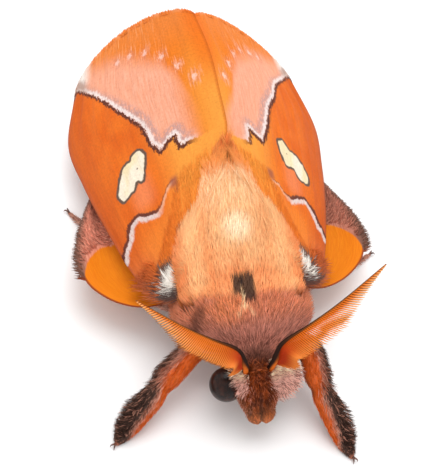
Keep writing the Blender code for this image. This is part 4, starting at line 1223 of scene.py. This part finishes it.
legShape = {
    "foreleg": {"radii": [0.8, 1.15, 1.2, 1.0, 0.65, 0.2], "hairs": 4600, "fringe": 2600, "fringeLift": 1.0},
    "midleg": {"radii": [0.6, 0.7, 0.6, 0.38, 0.22, 0.16], "hairs": 1200, "fringe": 500, "fringeLift": 0.55},
    "hindleg": {"radii": [0.6, 0.7, 0.6, 0.38, 0.22, 0.16], "hairs": 1200, "fringe": 500, "fringeLift": 0.55},
    "rings": 70,
    "sides": 18,
}
legFur = {"start": ((0.02, 0.93), (0, fullTurn)), "travel": ((0.03, 0.075), (-0.3, 0.3)),
          "ends": (-free, (0.985, free)), "lift": (0.04, 0.2), "width": (0.06, 0.10),
          "uvBox": ((0, 0), (1, fullTurn))}
legFringe = {"travel": ((0.02, 0.06), (-0.25, 0.25)), "ends": (-free, (0.985, free)), "lift": (0.4, 1.0),
             "width": (0.05, 0.09), "uvBox": ((0, 0), (1, fullTurn)), "curl": 0.2, "form": "long"}
# How high the fringe stands against the place along the leg, with the knee halfway
bristles = ((0.0, 0.35, 0.47, 0.51, 0.60, 0.80, 0.95), (0.4, 0.6, 1.0, 0.1, 1.2, 1.05, 0.25))
bristleTries = 12000


def legColour(paint):
    along, outer, fore = paint.split(paint.vector("mark"))
    patchy = paint.noise(paint.join(along * 40.0, outer * 5.0, fore), 1.0, 3.0)
    tone = paint.value("tone")
    orange = paint.mix(patchy.ramp(0.4, 0.65), (0.66, 0.105, 0.009), (0.78, 0.15, 0.018))
    pink = paint.mix(patchy.ramp(0.35, 0.65), (0.46, 0.13, 0.07), (0.76, 0.38, 0.27))
    upper = along.below(0.46, 0.52)
    dark = paint.mix(patchy.ramp(0.4, 0.7), (0.055, 0.028, 0.020), (0.14, 0.07, 0.050))
    dark = paint.mix(tone.ramp(0.84, 0.90) * (1 - upper * 0.6), dark, (0.50, 0.23, 0.16))
    shift = (patchy - 0.5) * 0.5 + (tone - 0.5) * 0.3
    edge = outer + shift - upper * 0.72 + along.ramp(0.72, 0.90) * 1.1
    plain = paint.mix(patchy.ramp(0.35, 0.6), (0.24, 0.09, 0.055), (0.66, 0.34, 0.25))
    colour = paint.layers(
        orange,
        (edge.ramp(-0.65, -0.35), pink),
        ((edge - upper * 0.05).ramp(-0.25, 0.02), dark),
        # A thin dark edge on the upper leg's side towards the body is painted shade
        (upper * outer.below(-0.98, -0.82) * 0.6, dark))
    return paint.mix(along.ramp(0.93, 0.98), paint.mix(fore, plain, colour), (0.36, 0.11, 0.06))


def legPaint():
    paint = Paint("legSkin", 0.7)
    return paint.finish(legColour(paint))


def legHairPaint():
    paint = Paint("legHair", 0.7, 0.15)
    # Tone varies at random from tuft to tuft; darker roots and lighter tips are painted shade and light among the
    # hair
    shade = (paint.value("tone") * 0.5 + 0.75) * (paint.value("tipward") * 0.4 + 0.8)
    return paint.finish(paint.scaled(legColour(paint), shade))


def buildLeg(name, skinPaint, hairPaint):
    pair, word = name.split("_")
    side = sides[word]
    shape = legShape[pair]
    tube = tubeMap(np.array(legs[name]), shape["radii"])
    knee = knees.get(name, 0.5)
    outward = unit(np.array([side, 0.25, 0.25]))

    def place(along, angle, lift):  # narrower at the knee
        ring = tube(along, angle, lift)
        if name not in knees:
            return ring
        core = coreOf(tube, along, angle)
        return core + (ring - core) * (1 - 0.26 * np.exp(-((along - knee) / 0.03) ** 2))[:, None]

    def zoneOf(along):  # the knee is halfway in the colours and in the fringe
        return np.interp(along, (0, knee, 1), (0, 0.5, 1))

    def outerOf(along, angle):
        out = unit(place(along, angle, np.full(len(along), 0.5)) - place(along, angle, np.zeros(len(along))))
        return out @ outward

    def marksOf(start, end=None):
        along = start[:, 0]
        return np.stack([zoneOf(along), outerOf(*start.T), np.full(len(along), float(pair == "foreleg"))], axis=1)

    rings, around = legShape["rings"], legShape["sides"]
    points, along, angle = wrapPoints(place, np.linspace(0, 1, rings), around)
    marks = withEnds(marksOf(np.stack([along, angle], axis=1)))
    along, angle = np.append(along, [0, 1]), np.append(angle, [0, 0])
    joints = 1 - 0.12 * ease(0.6, 0.66, along) * (np.cos(along * 2 * math.pi / 0.078) > 0.6)
    core = coreOf(place, along, angle)
    points = core + (points - core) * joints[:, None]
    points[:, 2] = np.maximum(points[:, 2], 0.0)
    makePiece(name + "_skin", points, tubeFaces(rings, around), skinPaint, {"mark": marks},
              replaces=[name])
    # Short hair all over, then a bristly fringe on the outer side that thins out at the knee
    random = np.random.default_rng(len(name) * 7 + side + ord(name[0]))
    furPiece(name + "_fur", place, {**legFur, "count": shape["hairs"]}, hairPaint, "leg_coat", random,
             marksOf=marksOf, liftOf=lambda lift, start: lift * (1 - 0.5 * ease(0.7, 0.95, start[:, 0])))
    tries = draw(random, bristleTries, (0.10, 0.94), (0, fullTurn))
    start = tries[outerOf(*tries.T) > random.uniform(-0.1, 0.9, len(tries))][:shape["fringe"]]
    furPiece(name + "_fringe", place, legFringe, hairPaint, "leg_coat", random, start, marksOf=marksOf,
             liftOf=lambda lift, start: lift * np.interp(zoneOf(start[:, 0]), *bristles) * shape["fringeLift"])


claws = {"length": 0.6, "radius": 0.11, "spread": 0.5, "rings": 14, "sides": 8}


def buildClaws(paint):
    length, radius = claws["length"], claws["radius"]
    tubes = []
    for path in legs.values():
        foot = np.array(path[-1])
        ahead = unit(foot - np.array(path[-2]))
        ahead[2] = 0.0
        aside = np.array([-ahead[1], ahead[0], 0.0])
        for turn in (-1, 1):
            way = unit(ahead + aside * claws["spread"] * turn)
            claw = [foot - ahead * 0.3 + (0, 0, 0.05), foot + way * length * 0.35 + (0, 0, 0.22),
                    foot + way * length * 0.8 + (0, 0, 0.18), foot + way * length + (0, 0, -0.12)]
            place = tubeMap(np.array(claw), [radius, radius * 0.9, radius * 0.6, 0.02], 24)
            points = wrapPoints(place, np.linspace(0, 1, claws["rings"]), claws["sides"])[0]
            points[:, 2] = np.maximum(points[:, 2], 0.01)
            tubes.append(points)
    manyTubes("claws", tubes, tubes, claws["rings"], claws["sides"], paint)


def clawPaint():
    paint = Paint("clawHorn", 0.3)
    grain = paint.noise(paint.vector("mark"), 4.0)
    colour = paint.mix(grain.ramp(0.4, 0.6), (0.06, 0.02, 0.012), (0.16, 0.05, 0.025))
    return paint.finish(colour, None, grain, 0.00001)


# Hair on the wing roots and the fringes of the forewings

seam = {"count": 1200, "start": ((0.15, 0.36), (0.0, 0.08)), "travel": ((0.03, 0.07), (-0.09, 0.0)),
        "ends": ((-free, -0.05), free), "lift": (0.1, 0.45), "width": (0.06, 0.11)}


def buildMantle(word, paint):  # the part of the thorax coat that lies over the wing's root
    place = forewingMap(sides[word])
    random = np.random.default_rng(mantle["seed"] + sides[word])
    s, t = draw(random, mantle["count"], (-0.04, 0.25), (0.0, 1.0)).T
    edge = np.interp(t, mantle["t"], mantle["s"])
    s, t, edge = chosen(s < edge - 0.045 - 0.02 * random.random(len(s)), s, t, edge)
    count = len(s)
    start = np.stack([s, t], axis=1)
    end = start + draw(random, count, (0.035, 0.075), (-0.05, 0.05))
    end[:, 1] = np.clip(end[:, 1], 0.0, 1.0)
    lift = random.uniform(0.12, 0.6, count) * (0.35 + 0.65 * (1 - ease(-0.09, 0.0, s - edge)))
    lift = lift * (1 - 0.5 * ease(0.7, 1.0, t)) * (0.45 + 0.55 * ease(0.0, 0.15, t))
    end[:, 1] -= random.uniform(0.05, 0.2, count) * (1 - ease(0.0, 0.10, t))  # leans in over the thorax
    tuftPiece(f"mantle_{word}_fur", place, start, end, lift, random.uniform(*mantle["width"], count), paint,
              "thorax_coat", random, uvBox=((-0.05, 0), (0.3, 1)), sink=0.05)
    # Hair of the coat where the two wings meet
    furPiece(f"seam_{word}_fur", place, seam, paint, "thorax_coat", random)


# Fine hair behind the mantle and around the white patch, hair on the root, short fringe on the outer margin
wingHair = {
    "seed": 50,
    "hair": {"count": 5000, "travel": ((0.03, 0.06), (-0.02, 0.02)), "ends": ((-free, 0.002), (free, 1.0)),
             "lift": (0.03, 0.16), "width": (0.05, 0.09), "sink": 0.03},
    "root_hair": {"count": 900, "start": ((0.0, 0.19), (0.78, 1.0)), "travel": ((0.02, 0.05), (0.02, 0.13)),
                  "lift": (0.05, 0.45), "width": (0.06, 0.10), "sink": 0.05, "uvBox": ((0, 0), (1, 1.15))},
    "fringe": {"count": 1600, "start": ((0.985, 0.998), (0.0, 1.0)), "travel": ((0.006, 0.013), (-0.01, 0.01)),
               "ends": ((-free, 0.0), (free, 1.0)), "lift": (-0.05, 0.05), "width": (0.08, 0.14), "sink": 0.03,
               "uvBox": ((0, 0), (1.02, 1))},
}


def buildWingHair(word, paint):
    place = forewingMap(sides[word])
    random = np.random.default_rng(wingHair["seed"] + sides[word])
    count = wingHair["hair"]["count"]
    t = random.uniform(0.0, 1.0, count)
    stray = random.uniform(-0.06, 0.15, count) * (1 - 0.65 * ease(0.3, 0.55, t))
    start = np.stack([np.interp(t, mantle["t"], mantle["s"]) + stray, t], axis=1)

    def rootMarks(start, end):
        stray = random.uniform(-0.03, 0.03, len(end))
        return forewingMarks(word, np.clip(end[:, 0] + stray, 0, 1), end[:, 1])

    for key, begin, marksOf in (
            ("hair", start, lambda start, end: forewingMarks(word, *end.T)),
            ("root_hair", None, rootMarks),
            ("fringe", None, lambda start, end: forewingMarks(word, np.full(len(start), 0.985), start[:, 1]))):
        furPiece(f"forewing_{word}_{key}", place, wingHair[key], paint, "forewing", random, begin, marksOf)


# Build everything

wingPaint = forewingPaint()
hindPaint = hindwingPaint()
hindFurPaint = hindwingFurPaint()
for word in sides:
    buildForewing(word, wingPaint)
    buildHindwing(word, hindPaint, hindFurPaint)
    buildWingHair(word, wingPaint)
print("wings made")

skinPaint = bodyPaint()
hairPaint = coatPaint()
buildBody(skinPaint)
for coatName in coats:
    buildCoat(coatName, hairPaint)
for word in sides:
    buildMantle(word, hairPaint)
tuftPaint = cheekPaint()
buildHeadCoat(hairPaint, tuftPaint)
for word in sides:
    buildLashes(word, tuftPaint)
print("body and coat made")

globePaint = eyePaint()
rayPaint = antennaPaint()
stemPaint = shaftPaint()
for word in sides:
    buildEye(word, globePaint)
    buildPalp(word, skinPaint, hairPaint)
    buildAntenna(word, rayPaint, stemPaint)
print("head made")

limbPaint = legPaint()
limbHairPaint = legHairPaint()
for name in legs:
    buildLeg(name, limbPaint, limbHairPaint)
buildClaws(clawPaint())
print("legs made, triangles:", triangles)


# Floor, light and camera

stage = {"floor": 4.0, "sky": 0.95, "key": 1.55, "soft": 50, "from": (0.1, 0.3, 1.0),
         "white": ((0.93, 0.93, 0.93), (0.95, 0.95, 0.95)), "grain": 400.0}


def buildStage():
    mesh = bpy.data.meshes.new("floor")
    half = stage["floor"] / 2
    mesh.from_pydata([(-half, -half, 0), (half, -half, 0), (half, half, 0), (-half, half, 0)], [], [(0, 1, 2, 3)])
    floor = bpy.data.objects.new("floor", mesh)
    bpy.context.scene.collection.objects.link(floor)
    paint = Paint("floorPaper", 0.9)
    grain = paint.noise(paint.node("TexCoord", output=3), stage["grain"])
    paint.finish(paint.mix(grain, *stage["white"]))
    mesh.materials.append(paint.material)
    world = bpy.data.worlds.new("studio")
    world.use_nodes = True
    sky = world.node_tree.nodes["Background"]
    sky.inputs["Color"].default_value = (1.0, 1.0, 1.0, 1.0)
    sky.inputs["Strength"].default_value = stage["sky"]
    bpy.context.scene.world = world
    light = bpy.data.lights.new("key", "SUN")
    light.energy = stage["key"]
    light.angle = math.radians(stage["soft"])
    lamp = bpy.data.objects.new("key", light)
    lamp.rotation_mode = "QUATERNION"
    lamp.rotation_quaternion = Vector(stage["from"]).to_track_quat("Z", "Y")
    bpy.context.scene.collection.objects.link(lamp)
    bpy.context.scene.view_settings.view_transform = "Standard"


photoView = {"azimuth": 15.7, "elevation": 50.0, "roll": 6.5, "distance": 113.5, "target": (0.0, 0.0, 3.5),
             "focal": 1000.0, "longSide": 476, "sensor": 36.0}


def buildCamera():
    turn, rise, roll = (math.radians(photoView[key]) for key in ("azimuth", "elevation", "roll"))
    back = Vector((-math.sin(turn) * math.cos(rise), -math.cos(turn) * math.cos(rise), math.sin(rise)))
    level = Vector((math.cos(turn), -math.sin(turn), 0.0))
    upright = back.cross(level)
    right = level * math.cos(roll) + upright * math.sin(roll)
    up = upright * math.cos(roll) - level * math.sin(roll)
    place = (Vector(photoView["target"]) + back * photoView["distance"] + Vector(toFrame)) * 0.001
    data = bpy.data.cameras.new("photo")
    data.sensor_width = photoView["sensor"]
    data.lens = photoView["focal"] / photoView["longSide"] * photoView["sensor"]
    data.clip_start = 0.001
    camera = bpy.data.objects.new("photo", data)
    bpy.context.scene.collection.objects.link(camera)
    camera.matrix_world = Matrix.Translation(place) @ Matrix((right, up, back)).transposed().to_4x4()
    bpy.context.scene.camera = camera


buildStage()
buildCamera()
print("stage made")
